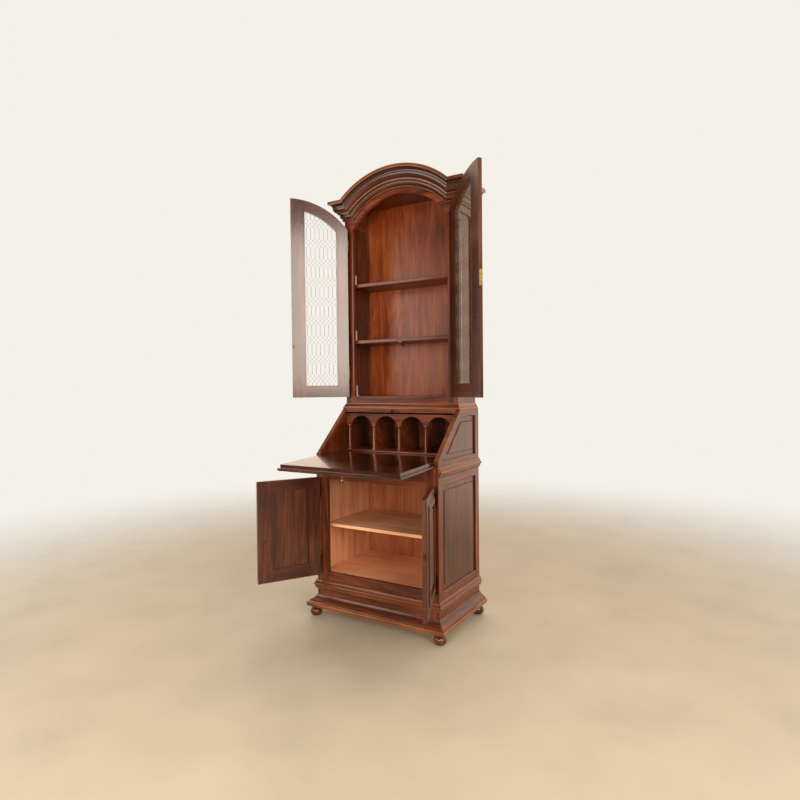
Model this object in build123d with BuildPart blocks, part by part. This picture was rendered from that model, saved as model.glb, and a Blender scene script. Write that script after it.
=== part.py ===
from build123d import *
import math
import os

# Secretary desk: base on bun feet, lower cupboard, sloping desk with a fall front, arched bookcase hutch.
# Millimetres. +Z up, the front faces -Y, the origin is on the floor under the centre of the case.

# ---------------------------------------------------------------- overall sizes
case_width = 650.0
case_depth = 420.0
hutch_step = 15.0
hutch_depth = 192.0
foot_height = 48.0
writing_height = 765.0
desk_top_height = 977.0
hutch_floor_height = 1038.0
arch_centre_height = 1676.0
arch_opening_radius = 325.0

# ---------------------------------------------------------------- board thicknesses and fits
side_thickness = 20.0
frame_thickness = 20.0
floor_thickness = 18.0
back_thickness = 8.0
shelf_thickness = 14.0
edge_ease = 1.0
slip = 0.5
glue_line = 0.2

# ---------------------------------------------------------------- base
foot_diameter = 58.0
foot_inset = 34.0
base_projection = 40.0
base_height = 50.0
base_board_thickness = 14.0
sill_moulding_bottom = 128.0
sill_moulding_height = 44.0
sill_projection = 15.0
desk_moulding_bottom = 695.0
desk_moulding_height = 46.0
desk_moulding_projection = 16.0

# ---------------------------------------------------------------- lower cupboard
opening_half_width = 262.0
cupboard_floor_height = 212.0
cupboard_head_height = 650.0
cupboard_shelf_height = 433.0
shelf_setback = 25.0
shelf_pin_radius = 3.0
shelf_pin_flange = 2.0
shelf_pin_length = 14.0
cupboard_pin_front = 40.0
cupboard_pin_back = 50.0
hutch_pin_front = 80.0
hutch_pin_back = 30.0
shelf_ease = 0.6
side_stile_front = 42.0
side_stile_back = 38.0
side_panel_bottom = 207.0
side_panel_top = 658.0
panel_rebate = 8.0
panel_depth = 12.0
panel_field_margin = 22.0
panel_field_rise = 4.0
panel_field_taper = 40.0
panel_opening_chamfer = 3.0

# ---------------------------------------------------------------- sloping desk and fall front
slope_angle = 43.5
slope_stile = 30.0
slope_panel_bottom = 764.0
slope_panel_top = 943.0
fall_body_thickness = 16.0
fall_lip_thickness = 13.0
fall_lip_overhang = 10.0
fall_length = 289.0
fall_end_gap = 1.5
fall_droop = 3.0
fall_pivot_depth = 5.0
fall_pivot_setback = 7.0
fall_heel = 9.0
fall_pin_radius = 3.0
fall_pin_clearance = 0.06
fall_lip_start = 10.0
fall_lip_round = 9.0
fall_field_margin = 52.0
fall_field_rise = 4.0
fall_seat_gap = 0.5
fall_swing_gap = 0.4
desk_floor_thickness = 20.0
gallery_front = 10.0
gallery_platform_thickness = 8.0
gallery_platform_lip = 12.0
gallery_platform_ease = 2.5
arcade_thickness = 8.0
arcade_edge_round = 1.5
gallery_end_gap = 3.0
arcade_post_half_width = 10.5
arcade_arch_rise = 42.0
arcade_spring_height = 898.0
arcade_top_height = 945.0
gallery_roof_thickness = 6.0
gallery_roof_setback = 2.0
column_foot_radius = 12.0
column_foot_height = 4.0
column_shaft_radius = 7.0
column_head_radius = 5.4
column_bead_height = 4.0
column_cap_height = 16.0
column_cap_radius = 11.0
column_abacus_height = 6.0
divider_gap = 9.0
divider_thickness = 6.0
desk_top_thickness = 18.0
desk_top_nosing = 1.0
strike_width = 46.0
strike_reach = 28.0
strike_height = 14.0

# ---------------------------------------------------------------- hutch
cap_height = 26.0
cap_projection = 14.0
hutch_shelf_heights = (1318.0, 1598.0)
hutch_shelf_thickness = 17.0
hutch_side_stile = 34.0
hutch_panel_bottom = 1070.0
hutch_panel_top = 1880.0
arch_frieze = 24.0
arch_head_lap = 8.0
hutch_shelf_setback = 2.0
hutch_shelf_ease = 2.0
bracket_setback = 24.0
bracket_foot = 30.0
bracket_leg_width = 20.0
bracket_leg_height = 54.0
bracket_foot_height = 4.0
bracket_thickness = 3.0
cornice_height = 94.0
return_bottom = 1913.0
cornice_projection = 61.0
hutch_roof_thickness = 16.0
hutch_roof_clearance = 4.0

# ---------------------------------------------------------------- doors
door_gap = 1.0
door_thickness = 20.0
door_edge_round = 5.0
door_meeting_gap = 1.5
stile_hinge = 56.0
stile_meeting = 68.0
pin_offset = 9.0
pin_radius = 2.0
pin_clearance = 0.05
knuckle_radius = 4.0
knuckle_gap = 0.4
hinge_height = 60.0
leaf_thickness = 1.2
leaf_width = 18.0
pin_tip = 3.0
door_edge_offset = 4.3
upper_pin_half_span = 284.0
upper_door_bottom = 1034.0
upper_door_arc_radius = 350.0
upper_door_arc_centre = 1655.0
upper_arch_rail = 50.0
upper_bottom_rail = 58.0
upper_hinge_heights = (1154.0, 1785.0)
upper_left_open = 135.0
upper_right_open = 141.0
lower_pin_half_span = 300.0
lower_door_bottom = 200.0
lower_door_top = 662.0
lower_bottom_rail = 58.0
lower_top_rail = 50.0
lower_hinge_heights = (262.0, 600.0)
lower_left_open = 121.0
lower_right_open = 112.0
upper_lock_height = 1524.0
lower_lock_height = 436.0
lattice_pitch = 21.0
lattice_straight = 48.0
lattice_band = 47.0
lattice_phase = 1745.0
wire_radius = 0.9
mesh_rebate = 6.0
mesh_setback = 6.0
mesh_border = 2.0
upper_lock_tall = 66.0
lower_lock_tall = 56.0
door_lock_inset = 3.0
door_lock_thickness = 14.0
door_lock_depth = 16.0
door_panel_thickness = 8.0
door_moulding_rise = 5.0
door_moulding_width = 6.0
door_moulding_chamfer = 3.0
door_field_rise = 6.0
door_field_taper = 35.0
panel_seat = 7.0

# ---------------------------------------------------------------- locks and catches
lock_middle = -16.0
lock_width = 42.0
lock_depth = 26.0
lock_low = -3.0
lock_high = 8.0
lock_slack = 0.2
bolt_width = 24.0
bolt_thickness = 6.0
key_run = 241.0
key_shank_radius = 2.5
key_clearance = 0.4
key_depth = 7.0
key_shank_length = 20.0
key_bow_width = 8.0
key_bow_height = 10.0
fall_plate_radius = 4.8
fall_plate_thickness = 2.5
fall_washer_radius = 7.0
fall_washer_thickness = 0.8
bolt_bed = 3.0
escutcheon_thickness = 1.5
fall_escutcheon = (11.0, 16.0)
door_escutcheon = (9.0, 15.0)
key_bow_wall = 3.5
key_bow_half_thickness = 1.2
strike_plate_thickness = 0.8
strike_plate_half_width = 5.0
strike_plate_half_height = 8.0
upper_strike_drop = 17.0
lower_strike_height = 388.0
lower_strike_inset = 32.0
catch_x = -8.0
catch_pin_radius = 1.5
catch_setback = 19.0
catch_drop = 9.0
catch_plate = 2.0
catch_plate_width = 18.0
catch_plate_length = 26.0
catch_ear_offset = 6.5
catch_ear_thickness = 1.5
catch_ear_reach = 4.0
catch_lever_width = 8.0
catch_lever_outline = (
    (22, -14), (19, -15), (-1, -4), (-28, -4), (-30, -8), (-33, -8), (-37, -1), (-6, 3), (4, 3),
)

# ---------------------------------------------------------------- worked-out positions
half_case = case_width / 2
case_front = -case_depth / 2
case_back = case_depth / 2
case_inner = half_case - side_thickness
half_hutch = half_case - hutch_step
hutch_front = case_back - hutch_depth
hutch_inner = half_hutch - side_thickness
inside_front = case_front + frame_thickness
inside_back = case_back - back_thickness
hutch_inside_front = hutch_front + frame_thickness
sill_top = sill_moulding_bottom + sill_moulding_height
desk_floor_bottom = writing_height - desk_floor_thickness
platform_top = writing_height + gallery_platform_thickness
arcade_pitch = (case_inner - column_foot_radius - gallery_end_gap) / 2
arcade_arch_half_span = arcade_pitch / 2 - arcade_post_half_width
arch_spring_height = arch_centre_height + math.sqrt(arch_opening_radius**2 - opening_half_width**2)
cornice_inner_radius = arch_opening_radius + arch_frieze
cornice_outer_radius = cornice_inner_radius + cornice_height
return_top = return_bottom + cornice_height
hutch_roof_bottom = arch_centre_height + arch_opening_radius + hutch_roof_clearance
hutch_top = hutch_roof_bottom + hutch_roof_thickness
inner_depth = door_gap - pin_offset
outer_depth = inner_depth + door_thickness

slope = math.radians(slope_angle)
slope_out = Vector(0, -math.sin(slope), math.cos(slope))
pivot = Vector(0, case_front + fall_pivot_setback, writing_height - fall_pivot_depth)
lip_depth = fall_body_thickness - fall_pivot_depth
slope_distance = lip_depth - fall_seat_gap
slope_start_height = pivot.Z + (slope_distance - fall_pivot_setback * math.sin(slope)) / math.cos(slope)
slope_end_y = case_front + (desk_top_height - slope_start_height) / math.tan(slope)

FRONT = (0, -1, 0)
SIDES = (("left", -1), ("right", 1))
bench = Plane.XZ

os.makedirs("parts", exist_ok=True)


def save(piece, name, place=None):
    """Label a finished piece, moved to its place if it was made on the bench, and write its STEP file."""
    part = piece.part.moved(place) if place else piece.part
    part.label = name
    export_step(part, f"parts/{name}.step")


def boards(name, boxes, ease=edge_ease):
    """Plain boards of one kind, each between a low and a high value on every axis, edges eased."""
    with BuildPart() as piece:
        for x_range, y_range, z_range in boxes:
            with BuildSketch(Plane.XY.offset(z_range[0])) as footprint:
                with Locations(((x_range[0] + x_range[1]) / 2, (y_range[0] + y_range[1]) / 2)):
                    Rectangle(x_range[1] - x_range[0], y_range[1] - y_range[0])
            extrude(footprint.sketch, amount=z_range[1] - z_range[0])
        if ease:
            fillet(piece.edges(), radius=ease)
    save(piece, name)


def board(name, x_range, y_range, z_range, ease=edge_ease):
    """A single plain board."""
    boards(name, [(x_range, y_range, z_range)], ease)


def mirrored(low, high):
    """The same span of x on the left and on the right."""
    return [(-high, -low), (low, high)]


def run_plane(start, outward):
    """Plane for a moulding's section: local x is the outward offset and local y is the height."""
    along = Vector(*outward).cross(Vector(0, 0, 1))
    return Plane(origin=start, x_dir=outward, z_dir=along)


def front_plane(y):
    """Upright plane at a given y, local x to the right and local y up, extruding towards the front."""
    return Plane.XZ.offset(-y)


def side_plane(x):
    """Upright plane at a given x, local x towards the back and local y up, extruding to the right."""
    return Plane.YZ.offset(x)


def corner_outline(x, y, reach, side, towards_front):
    """Triangle beside the 45 degree mitre at a front corner, on its front half or on its side half."""
    far = (x, y - reach) if towards_front else (x + side * reach, y)
    with BuildLine() as outline:
        Polyline((x, y), (x + side * reach, y - reach), far, close=True)
    make_face(outline.edges())


# ---------------------------------------------------------------- moulding sections
def base_section():
    """Double fillet under a long ogee that rises to the face of the plinth."""
    fillet_step = base_height * 0.18
    with BuildLine() as outline:
        Polyline(
            (0, base_height),
            (0, 0),
            (base_projection - 2, 0),
            (base_projection - 2, fillet_step),
            (base_projection, fillet_step),
            (base_projection, 2 * fillet_step),
            (base_projection - 6, 2 * fillet_step),
        )
        waist = (base_projection * 0.42, base_height * 0.66)
        RadiusArc((base_projection - 6, 2 * fillet_step), waist, -base_projection * 0.75)
        RadiusArc(waist, (3, base_height), base_projection * 0.75)
        Line((3, base_height), (0, base_height))
    make_face(outline.edges())


def sill_section():
    """Half-round nose between a cove above and a stepped fillet below."""
    nose_low = sill_moulding_height * 0.34
    nose_high = sill_moulding_height * 0.62
    shoulder = sill_projection * 0.62
    with BuildLine() as outline:
        Polyline(
            (0, sill_moulding_height),
            (0, 0),
            (shoulder * 0.5, 0),
            (shoulder, nose_low * 0.5),
            (shoulder, nose_low),
        )
        ThreePointArc(
            (shoulder, nose_low),
            (sill_projection, (nose_low + nose_high) / 2),
            (shoulder, nose_high),
        )
        RadiusArc((shoulder, nose_high), (2, sill_moulding_height), -sill_projection * 1.4)
        Line((2, sill_moulding_height), (0, sill_moulding_height))
    make_face(outline.edges())


def desk_section():
    """Torus nose with a cove above and below, worked on the sides at desk height."""
    nose_low = desk_moulding_height * 0.36
    nose_high = desk_moulding_height * 0.64
    shoulder = desk_moulding_projection * 0.6
    with BuildLine() as outline:
        Line((0, 0), (2, 0))
        RadiusArc((2, 0), (shoulder, nose_low), -desk_moulding_projection * 1.4)
        ThreePointArc(
            (shoulder, nose_low),
            (desk_moulding_projection, desk_moulding_height / 2),
            (shoulder, nose_high),
        )
        RadiusArc((shoulder, nose_high), (2, desk_moulding_height), -desk_moulding_projection * 1.4)
        Polyline((2, desk_moulding_height), (0, desk_moulding_height), (0, 0))
    make_face(outline.edges())


def cap_section():
    """Fillet and cove that carry the hutch down onto the desk top."""
    with BuildLine() as outline:
        Polyline((0, cap_height), (0, 0), (cap_projection, 0), (cap_projection, 5), (cap_projection - 3, 5))
        RadiusArc((cap_projection - 3, 5), (2.5, cap_height - 4), -cap_height)
        Polyline((2.5, cap_height - 4), (2.5, cap_height), (0, cap_height))
    make_face(outline.edges())


def cornice_section():
    """Crown moulding: bead, cove, ogee and a top fillet, from the face out to the full projection."""
    height = cornice_height
    reach = cornice_projection
    with BuildLine() as outline:
        Line((0, height), (0, 0))
        Line((0, 0), (5, 0))
        ThreePointArc((5, 0), (9, 5), (5, 10))
        RadiusArc((5, 10), (reach * 0.28, height * 0.3), -16)
        Polyline(
            (reach * 0.28, height * 0.3),
            (reach * 0.28, height * 0.35),
            (reach * 0.42, height * 0.35),
            (reach * 0.42, height * 0.41),
        )
        RadiusArc((reach * 0.42, height * 0.41), (reach * 0.7, height * 0.64), -26)
        RadiusArc((reach * 0.7, height * 0.64), (reach * 0.86, height * 0.84), 20)
        Polyline((reach * 0.86, height * 0.84), (reach, height * 0.84), (reach, height), (0, height))
    make_face(outline.edges())


def three_sided_moulding(name, section, bottom, height, projection, half_width, front, back):
    """A moulding round the front and both sides of a carcass, sawn at 45 degrees at the front corners."""
    with BuildPart() as moulding:
        with BuildLine() as run:
            Polyline(
                (-half_width, back, bottom),
                (-half_width, front, bottom),
                (half_width, front, bottom),
                (half_width, back, bottom),
            )
        with BuildSketch(run_plane((-half_width, back, bottom), (-1, 0, 0))) as profile:
            section()
        sweep(profile.sketch, path=run.wire(), transition=Transition.RIGHT)
        for _, side in SIDES:
            with BuildSketch(Plane.XY.offset(bottom)):
                with Locations(Location((side * half_width, front, 0), (0, 0, -45 * side))):
                    Rectangle(3 * projection, glue_line)
            extrude(amount=height, mode=Mode.SUBTRACT)
    save(moulding, name)


# ---------------------------------------------------------------- base and feet
def build_base():
    """Four turned bun feet, the moulded base round three sides and the dust board inside it."""
    foot_x = half_case + base_projection - foot_inset
    foot_y = (case_front - base_projection + foot_inset, case_back - foot_inset)
    radius = foot_diameter / 2
    sole = radius * 0.55
    neck = radius * 0.62
    collar = radius * 0.8
    belly_height = foot_height * 0.4
    neck_height = foot_height * 0.8
    with BuildPart() as bun_feet:
        for x, y in [(sign * foot_x, y) for sign in (-1, 1) for y in foot_y]:
            with BuildSketch(run_plane((x, y, 0), (1, 0, 0))):
                with BuildLine():
                    Line((0, 0), (sole, 0))
                    ThreePointArc((sole, 0), (radius, belly_height), (neck, neck_height))
                    Polyline(
                        (neck, neck_height),
                        (collar, foot_height * 0.84),
                        (collar, foot_height),
                        (0, foot_height),
                        (0, 0),
                    )
                make_face()
            revolve(axis=Axis((x, y, 0), (0, 0, 1)))
    save(bun_feet, "bun_feet")
    inner = (-case_inner, case_inner)
    dust_board_z = (foot_height, foot_height + base_board_thickness)
    board("base_dust_board", inner, (inside_front, inside_back), dust_board_z)
    board("plinth_front", inner, (case_front, inside_front), (foot_height, sill_top))
    case = (half_case, case_front, case_back)
    three_sided_moulding("base_moulding", base_section, foot_height, base_height, base_projection, *case)
    sill_z = (sill_moulding_bottom, sill_moulding_height)
    three_sided_moulding("sill_moulding", sill_section, *sill_z, sill_projection, *case)


# ---------------------------------------------------------------- panelled sides
def slope_y(height, inset):
    """Depth position of a line parallel to the sloping edge of the side, a given distance inside it."""
    return case_front + (height - slope_start_height) / math.tan(slope) + inset / math.sin(slope)


def cupboard_panel_outline(grow):
    """Rectangle of the lower side panel, grown outwards all round."""
    low_y = case_front + side_stile_front - grow
    high_y = case_back - side_stile_back + grow
    with BuildLine() as outline:
        Polyline(
            (low_y, side_panel_bottom - grow),
            (high_y, side_panel_bottom - grow),
            (high_y, side_panel_top + grow),
            (low_y, side_panel_top + grow),
            close=True,
        )
    make_face(outline.edges())


def desk_panel_outline(grow):
    """Trapezium of the upper side panel, its front edge parallel to the slope, grown outwards all round."""
    low_z = slope_panel_bottom - grow
    high_z = slope_panel_top + grow
    high_y = case_back - side_stile_back + grow
    with BuildLine() as outline:
        Polyline(
            (slope_y(low_z, slope_stile - grow), low_z),
            (high_y, low_z),
            (high_y, high_z),
            (slope_y(high_z, slope_stile - grow), high_z),
            close=True,
        )
    make_face(outline.edges())


def hutch_panel_outline(grow):
    """Rectangle of the hutch side panel, grown outwards all round."""
    low_y = hutch_front + hutch_side_stile - grow
    high_y = case_back - hutch_side_stile + grow
    with BuildLine() as outline:
        Polyline(
            (low_y, hutch_panel_bottom - grow),
            (high_y, hutch_panel_bottom - grow),
            (high_y, hutch_panel_top + grow),
            (low_y, hutch_panel_top + grow),
            close=True,
        )
    make_face(outline.edges())


def fielded_panels(name, inner_x, outlines):
    """Raised and fielded panels that lie in the rebates of both sides, flush with the inside."""
    with BuildPart() as panels:
        for _, side in SIDES:
            for outline in outlines:
                with BuildSketch(side_plane(side * inner_x)) as plate:
                    outline(panel_rebate - slip)
                extrude(plate.sketch, amount=side * panel_depth)
                with BuildSketch(side_plane(side * (inner_x + panel_depth))) as field:
                    outline(-panel_field_margin)
                extrude(field.sketch, amount=side * panel_field_rise, taper=panel_field_taper)
    save(panels, name)


def side_frames(name, inner_x, profile, outlines):
    """The glued-up frames of both sides: outline, panel openings and the rebates behind them."""
    with BuildPart() as frames:
        for _, side in SIDES:
            with BuildSketch(side_plane(side * inner_x)) as whole:
                with BuildLine():
                    Polyline(*profile, close=True)
                make_face()
            extrude(whole.sketch, amount=side * side_thickness)
            for outline in outlines:
                with BuildSketch(side_plane(side * inner_x)) as opening:
                    outline(0)
                extrude(opening.sketch, amount=side * side_thickness, mode=Mode.SUBTRACT)
                with BuildSketch(side_plane(side * inner_x)) as rebate:
                    outline(panel_rebate)
                extrude(rebate.sketch, amount=side * panel_depth, mode=Mode.SUBTRACT)
        across = frames.faces().filter_by(Axis.X).sort_by(Axis.X)
        wires = [wire for face in (across[0], across[-1]) for wire in face.inner_wires()]
        chamfer([edge for wire in wires for edge in wire.edges()], length=panel_opening_chamfer)
    save(frames, name)


def build_sides():
    """Panelled sides of the case and of the hutch, and the mouldings at desk height on the case."""
    case_profile = (
        (case_front, foot_height),
        (case_front, slope_start_height),
        (slope_end_y, desk_top_height),
        (case_back, desk_top_height),
        (case_back, foot_height),
    )
    hutch_profile = (
        (hutch_front, desk_top_height),
        (hutch_front, hutch_roof_bottom),
        (case_back, hutch_roof_bottom),
        (case_back, desk_top_height),
    )
    side_frames("case_sides", case_inner, case_profile, (cupboard_panel_outline, desk_panel_outline))
    fielded_panels("case_side_panels", case_inner, (cupboard_panel_outline, desk_panel_outline))
    side_frames("hutch_sides", hutch_inner, hutch_profile, (hutch_panel_outline,))
    fielded_panels("hutch_side_panels", hutch_inner, (hutch_panel_outline,))
    with BuildPart() as desk_mouldings:
        for _, side in SIDES:
            run_start = (side * half_case, case_back, desk_moulding_bottom)
            with BuildSketch(run_plane(run_start, (side, 0, 0))) as section:
                desk_section()
            extrude(section.sketch, amount=side * case_depth)
    save(desk_mouldings, "desk_mouldings")


# ---------------------------------------------------------------- cupboard carcass
def build_shelf_pins():
    """Flanged pegs on the side walls, two under each end of every shelf."""
    cupboard_rows = (inside_front + shelf_setback + cupboard_pin_front, inside_back - cupboard_pin_back)
    hutch_rows = (hutch_inside_front + hutch_pin_front, inside_back - hutch_pin_back)
    spots = [(case_inner, y, cupboard_shelf_height - shelf_thickness) for y in cupboard_rows]
    hutch_shelf_bottoms = [height - hutch_shelf_thickness for height in hutch_shelf_heights]
    spots += [(hutch_inner, y, bottom) for bottom in hutch_shelf_bottoms for y in hutch_rows]
    with BuildPart() as pins:
        for wall_x, y, shelf_bottom in spots:
            for _, side in SIDES:
                with BuildSketch(side_plane(side * wall_x)) as flange:
                    with Locations((y, shelf_bottom - shelf_pin_radius)):
                        Circle(2 * shelf_pin_radius)
                    with Locations((y, shelf_bottom + shelf_pin_radius)):
                        Rectangle(6 * shelf_pin_radius, 2 * shelf_pin_radius, mode=Mode.SUBTRACT)
                extrude(flange.sketch, amount=-side * shelf_pin_flange)
                with BuildSketch(side_plane(side * wall_x)) as peg:
                    with Locations((y, shelf_bottom - shelf_pin_radius)):
                        Circle(shelf_pin_radius)
                extrude(peg.sketch, amount=-side * shelf_pin_length)
    save(pins, "shelf_pins")


def build_cupboard():
    """Face frame, floor, shelf and back of the lower cupboard."""
    stile_z = (sill_top, desk_floor_bottom)
    face_y = (case_front, inside_front)
    stiles_x = mirrored(opening_half_width, case_inner)
    boards("cupboard_stiles", [(x_range, face_y, stile_z) for x_range in stiles_x])
    opening = (-opening_half_width, opening_half_width)
    rails_z = ((sill_top, cupboard_floor_height), (cupboard_head_height, desk_floor_bottom))
    boards("cupboard_rails", [(opening, face_y, z_range) for z_range in rails_z])
    inner = (-case_inner, case_inner)
    floor_z = (cupboard_floor_height - floor_thickness, cupboard_floor_height)
    board("cupboard_floor", inner, (inside_front, inside_back), floor_z)
    board("cupboard_back", inner, (inside_back, case_back), (foot_height, desk_floor_bottom))
    shelf_x = (slip - case_inner, case_inner - slip)
    shelf_y = (inside_front + shelf_setback, inside_back - slip)
    shelf_z = (cupboard_shelf_height - shelf_thickness, cupboard_shelf_height)
    board("cupboard_shelf", shelf_x, shelf_y, shelf_z, shelf_ease)


# ---------------------------------------------------------------- desk interior
def build_desk():
    """Desk floor, gallery with its arcade and columns, desk top, and the cap moulding under the hutch."""
    inner = (-case_inner, case_inner)
    heel_reach = math.hypot(fall_heel, fall_pivot_depth)
    droop = math.radians(fall_droop)
    floor_front = pivot.Y + heel_reach + fall_swing_gap
    stop_front = pivot.Y + fall_heel * math.cos(droop) + lip_depth * math.sin(droop) + fall_swing_gap
    stop_top = pivot.Z - fall_pivot_depth - fall_swing_gap
    bevel_foot = pivot - slope_out * (fall_pivot_depth + fall_swing_gap)
    bevel_bottom = bevel_foot.Z + (floor_front - bevel_foot.Y) * math.tan(slope)
    bevel_back = bevel_foot.Y + (writing_height - bevel_foot.Z) / math.tan(slope)
    with BuildPart() as desk_floor:
        with BuildSketch(side_plane(0)):
            with BuildLine():
                Polyline(
                    (floor_front, bevel_bottom),
                    (bevel_back, writing_height),
                    (inside_back, writing_height),
                    (inside_back, desk_floor_bottom),
                    (stop_front, desk_floor_bottom),
                    (stop_front, stop_top),
                    (floor_front, stop_top),
                    close=True,
                )
            make_face()
        extrude(amount=case_inner, both=True)
    save(desk_floor, "desk_floor")

    platform_front = gallery_front - gallery_platform_lip
    platform_y = (platform_front, inside_back)
    board("gallery_platform", inner, platform_y, (writing_height, platform_top), gallery_platform_ease)

    bays = [(index - 1.5) * arcade_pitch for index in range(4)]
    with BuildPart() as arcade:
        with BuildSketch(front_plane(gallery_front + arcade_thickness)):
            with Locations((0, (arcade_spring_height + arcade_top_height) / 2)):
                Rectangle(2 * case_inner, arcade_top_height - arcade_spring_height)
            for x in bays:
                with BuildLine():
                    arch_start = (x - arcade_arch_half_span, arcade_spring_height)
                    arch_end = (x + arcade_arch_half_span, arcade_spring_height)
                    crown = (x, arcade_spring_height + arcade_arch_rise)
                    ThreePointArc(arch_start, crown, arch_end)
                    Line(arch_end, arch_start)
                make_face(mode=Mode.SUBTRACT)
        extrude(amount=arcade_thickness)
        arch_edges = arcade.faces().sort_by(Axis.Y)[0].edges().filter_by(GeomType.CIRCLE)
        fillet(arch_edges, radius=arcade_edge_round)
    save(arcade, "gallery_arcade")

    column_y = gallery_front + arcade_thickness / 2
    top = arcade_spring_height - platform_top
    neck = top - column_cap_height
    bead = neck - column_bead_height
    foot = column_foot_height
    shoulder = foot + column_bead_height + 2
    with BuildPart() as columns:
        for index in range(5):
            x = (index - 2) * arcade_pitch
            with BuildSketch(run_plane((x, column_y, platform_top), (1, 0, 0))):
                with BuildLine():
                    base_edge = (column_foot_radius - 1.5, foot)
                    Polyline((0, top), (0, 0), (column_foot_radius, 0), (column_foot_radius, foot), base_edge)
                    torus_top = (column_foot_radius - 1.5, shoulder)
                    ThreePointArc(base_edge, (column_foot_radius, (foot + shoulder) / 2), torus_top)
                    shaft_foot = (column_shaft_radius, shoulder + column_bead_height + 2)
                    RadiusArc(torus_top, shaft_foot, 8)
                    shaft_head = (column_head_radius, bead)
                    Line(shaft_foot, shaft_head)
                    bead_top = (column_head_radius + 0.2, neck)
                    ThreePointArc(shaft_head, (column_head_radius + 2.2, (bead + neck) / 2), bead_top)
                    flare_top = (column_cap_radius - 1, top - column_abacus_height)
                    RadiusArc(bead_top, flare_top, -18)
                    abacus_low = (column_cap_radius, top - column_abacus_height)
                    Polyline(flare_top, abacus_low, (column_cap_radius, top), (0, top))
                make_face()
            revolve(axis=Axis((x, column_y, 0), (0, 0, 1)))
    save(columns, "gallery_columns")

    divider_front = gallery_front + arcade_thickness + divider_gap
    with BuildPart() as dividers:
        for index in range(3):
            with BuildSketch(Plane.XY.offset(platform_top)):
                with Locations(((index - 1) * arcade_pitch, (divider_front + inside_back) / 2)):
                    Rectangle(divider_thickness, inside_back - divider_front)
            extrude(amount=arcade_top_height - platform_top)
    save(dividers, "gallery_dividers")
    roof_top = arcade_top_height + gallery_roof_thickness
    roof_y = (gallery_front + gallery_roof_setback, inside_back)
    board("gallery_roof", inner, roof_y, (arcade_top_height, roof_top))
    board("gallery_back", inner, (inside_back, case_back), (desk_floor_bottom, desk_top_height))

    desk_top_bottom = desk_top_height - desk_top_thickness
    with BuildPart(Plane.XY.offset(desk_top_bottom)) as desk_top:
        desk_top_front = hutch_front - cap_projection - desk_top_nosing
        on_plane = (Align.CENTER, Align.CENTER, Align.MIN)
        with Locations((0, (desk_top_front + inside_back) / 2)):
            Box(2 * case_inner, inside_back - desk_top_front, desk_top_thickness, align=on_plane)
        with Locations((lock_middle, desk_top_front)):
            Box(strike_width, strike_reach, strike_height, align=on_plane, mode=Mode.SUBTRACT)
    save(desk_top, "desk_top")
    hutch = (half_hutch, hutch_front, case_back)
    three_sided_moulding("cap_moulding", cap_section, desk_top_height, cap_height, cap_projection, *hutch)


# ---------------------------------------------------------------- hutch
def build_hutch():
    """Face frame with its arched head, back, roof, shelves and corner brackets of the bookcase."""
    inner = (-hutch_inner, hutch_inner)
    front = (hutch_front, hutch_inside_front)
    head_bottom = arch_spring_height - arch_head_lap
    stile_z = (desk_top_height, head_bottom)
    stiles_x = mirrored(opening_half_width, hutch_inner)
    boards("hutch_stiles", [(x_range, front, stile_z) for x_range in stiles_x])
    opening_x = (-opening_half_width, opening_half_width)
    board("hutch_bottom_rail", opening_x, front, (desk_top_height, hutch_floor_height))
    board("hutch_back", inner, (inside_back, case_back), (desk_top_height, hutch_roof_bottom))
    roof_y = (hutch_inside_front, case_back)
    board("hutch_roof", (-half_hutch, half_hutch), roof_y, (hutch_roof_bottom, hutch_top))

    with BuildPart() as arch_head:
        with BuildSketch(front_plane(hutch_inside_front)):
            with Locations((0, (head_bottom + return_top) / 2)):
                Rectangle(2 * hutch_inner, return_top - head_bottom)
            with Locations((0, arch_centre_height)):
                Circle(cornice_outer_radius - arch_head_lap)
            with Locations((0, head_bottom - case_width)):
                Rectangle(4 * case_width, 2 * case_width, mode=Mode.SUBTRACT)
            for _, side in SIDES:
                with Locations((side * (hutch_inner + case_width / 2), return_top - case_width / 2)):
                    Rectangle(case_width, case_width, mode=Mode.SUBTRACT)
            with Locations((0, arch_centre_height)):
                Circle(arch_opening_radius, mode=Mode.SUBTRACT)
            with Locations((0, head_bottom)):
                Rectangle(2 * opening_half_width, 2 * arch_head_lap, mode=Mode.SUBTRACT)
        extrude(amount=frame_thickness)
    save(arch_head, "arch_head")

    shelf_x = (slip - hutch_inner, hutch_inner - slip)
    shelf_y = (hutch_inside_front + hutch_shelf_setback, inside_back - slip)
    floor_z = (hutch_floor_height - floor_thickness, hutch_floor_height)
    shelves_z = [(height - hutch_shelf_thickness, height) for height in hutch_shelf_heights]
    levels = [(inner, (hutch_inside_front, inside_back), floor_z)]
    levels += [(shelf_x, shelf_y, z_range) for z_range in shelves_z]
    boards("hutch_shelves", levels, hutch_shelf_ease)

    bracket_y = hutch_inside_front + bracket_setback
    with BuildPart() as brackets:
        for height in (hutch_floor_height, *hutch_shelf_heights):
            for _, side in SIDES:
                with BuildSketch(side_plane(side * hutch_inner)) as leaf:
                    with Locations((bracket_y, height)):
                        with Locations((bracket_foot / 2, bracket_foot_height / 2)):
                            Rectangle(bracket_foot, bracket_foot_height)
                        with Locations((bracket_leg_width / 2, bracket_leg_height / 2)):
                            RectangleRounded(bracket_leg_width, bracket_leg_height, bracket_leg_width / 4)
                extrude(leaf.sketch, amount=-side * bracket_thickness)
    save(brackets, "corner_brackets")
    build_elbow_catch(hutch_shelf_heights[0] - hutch_shelf_thickness)


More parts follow.
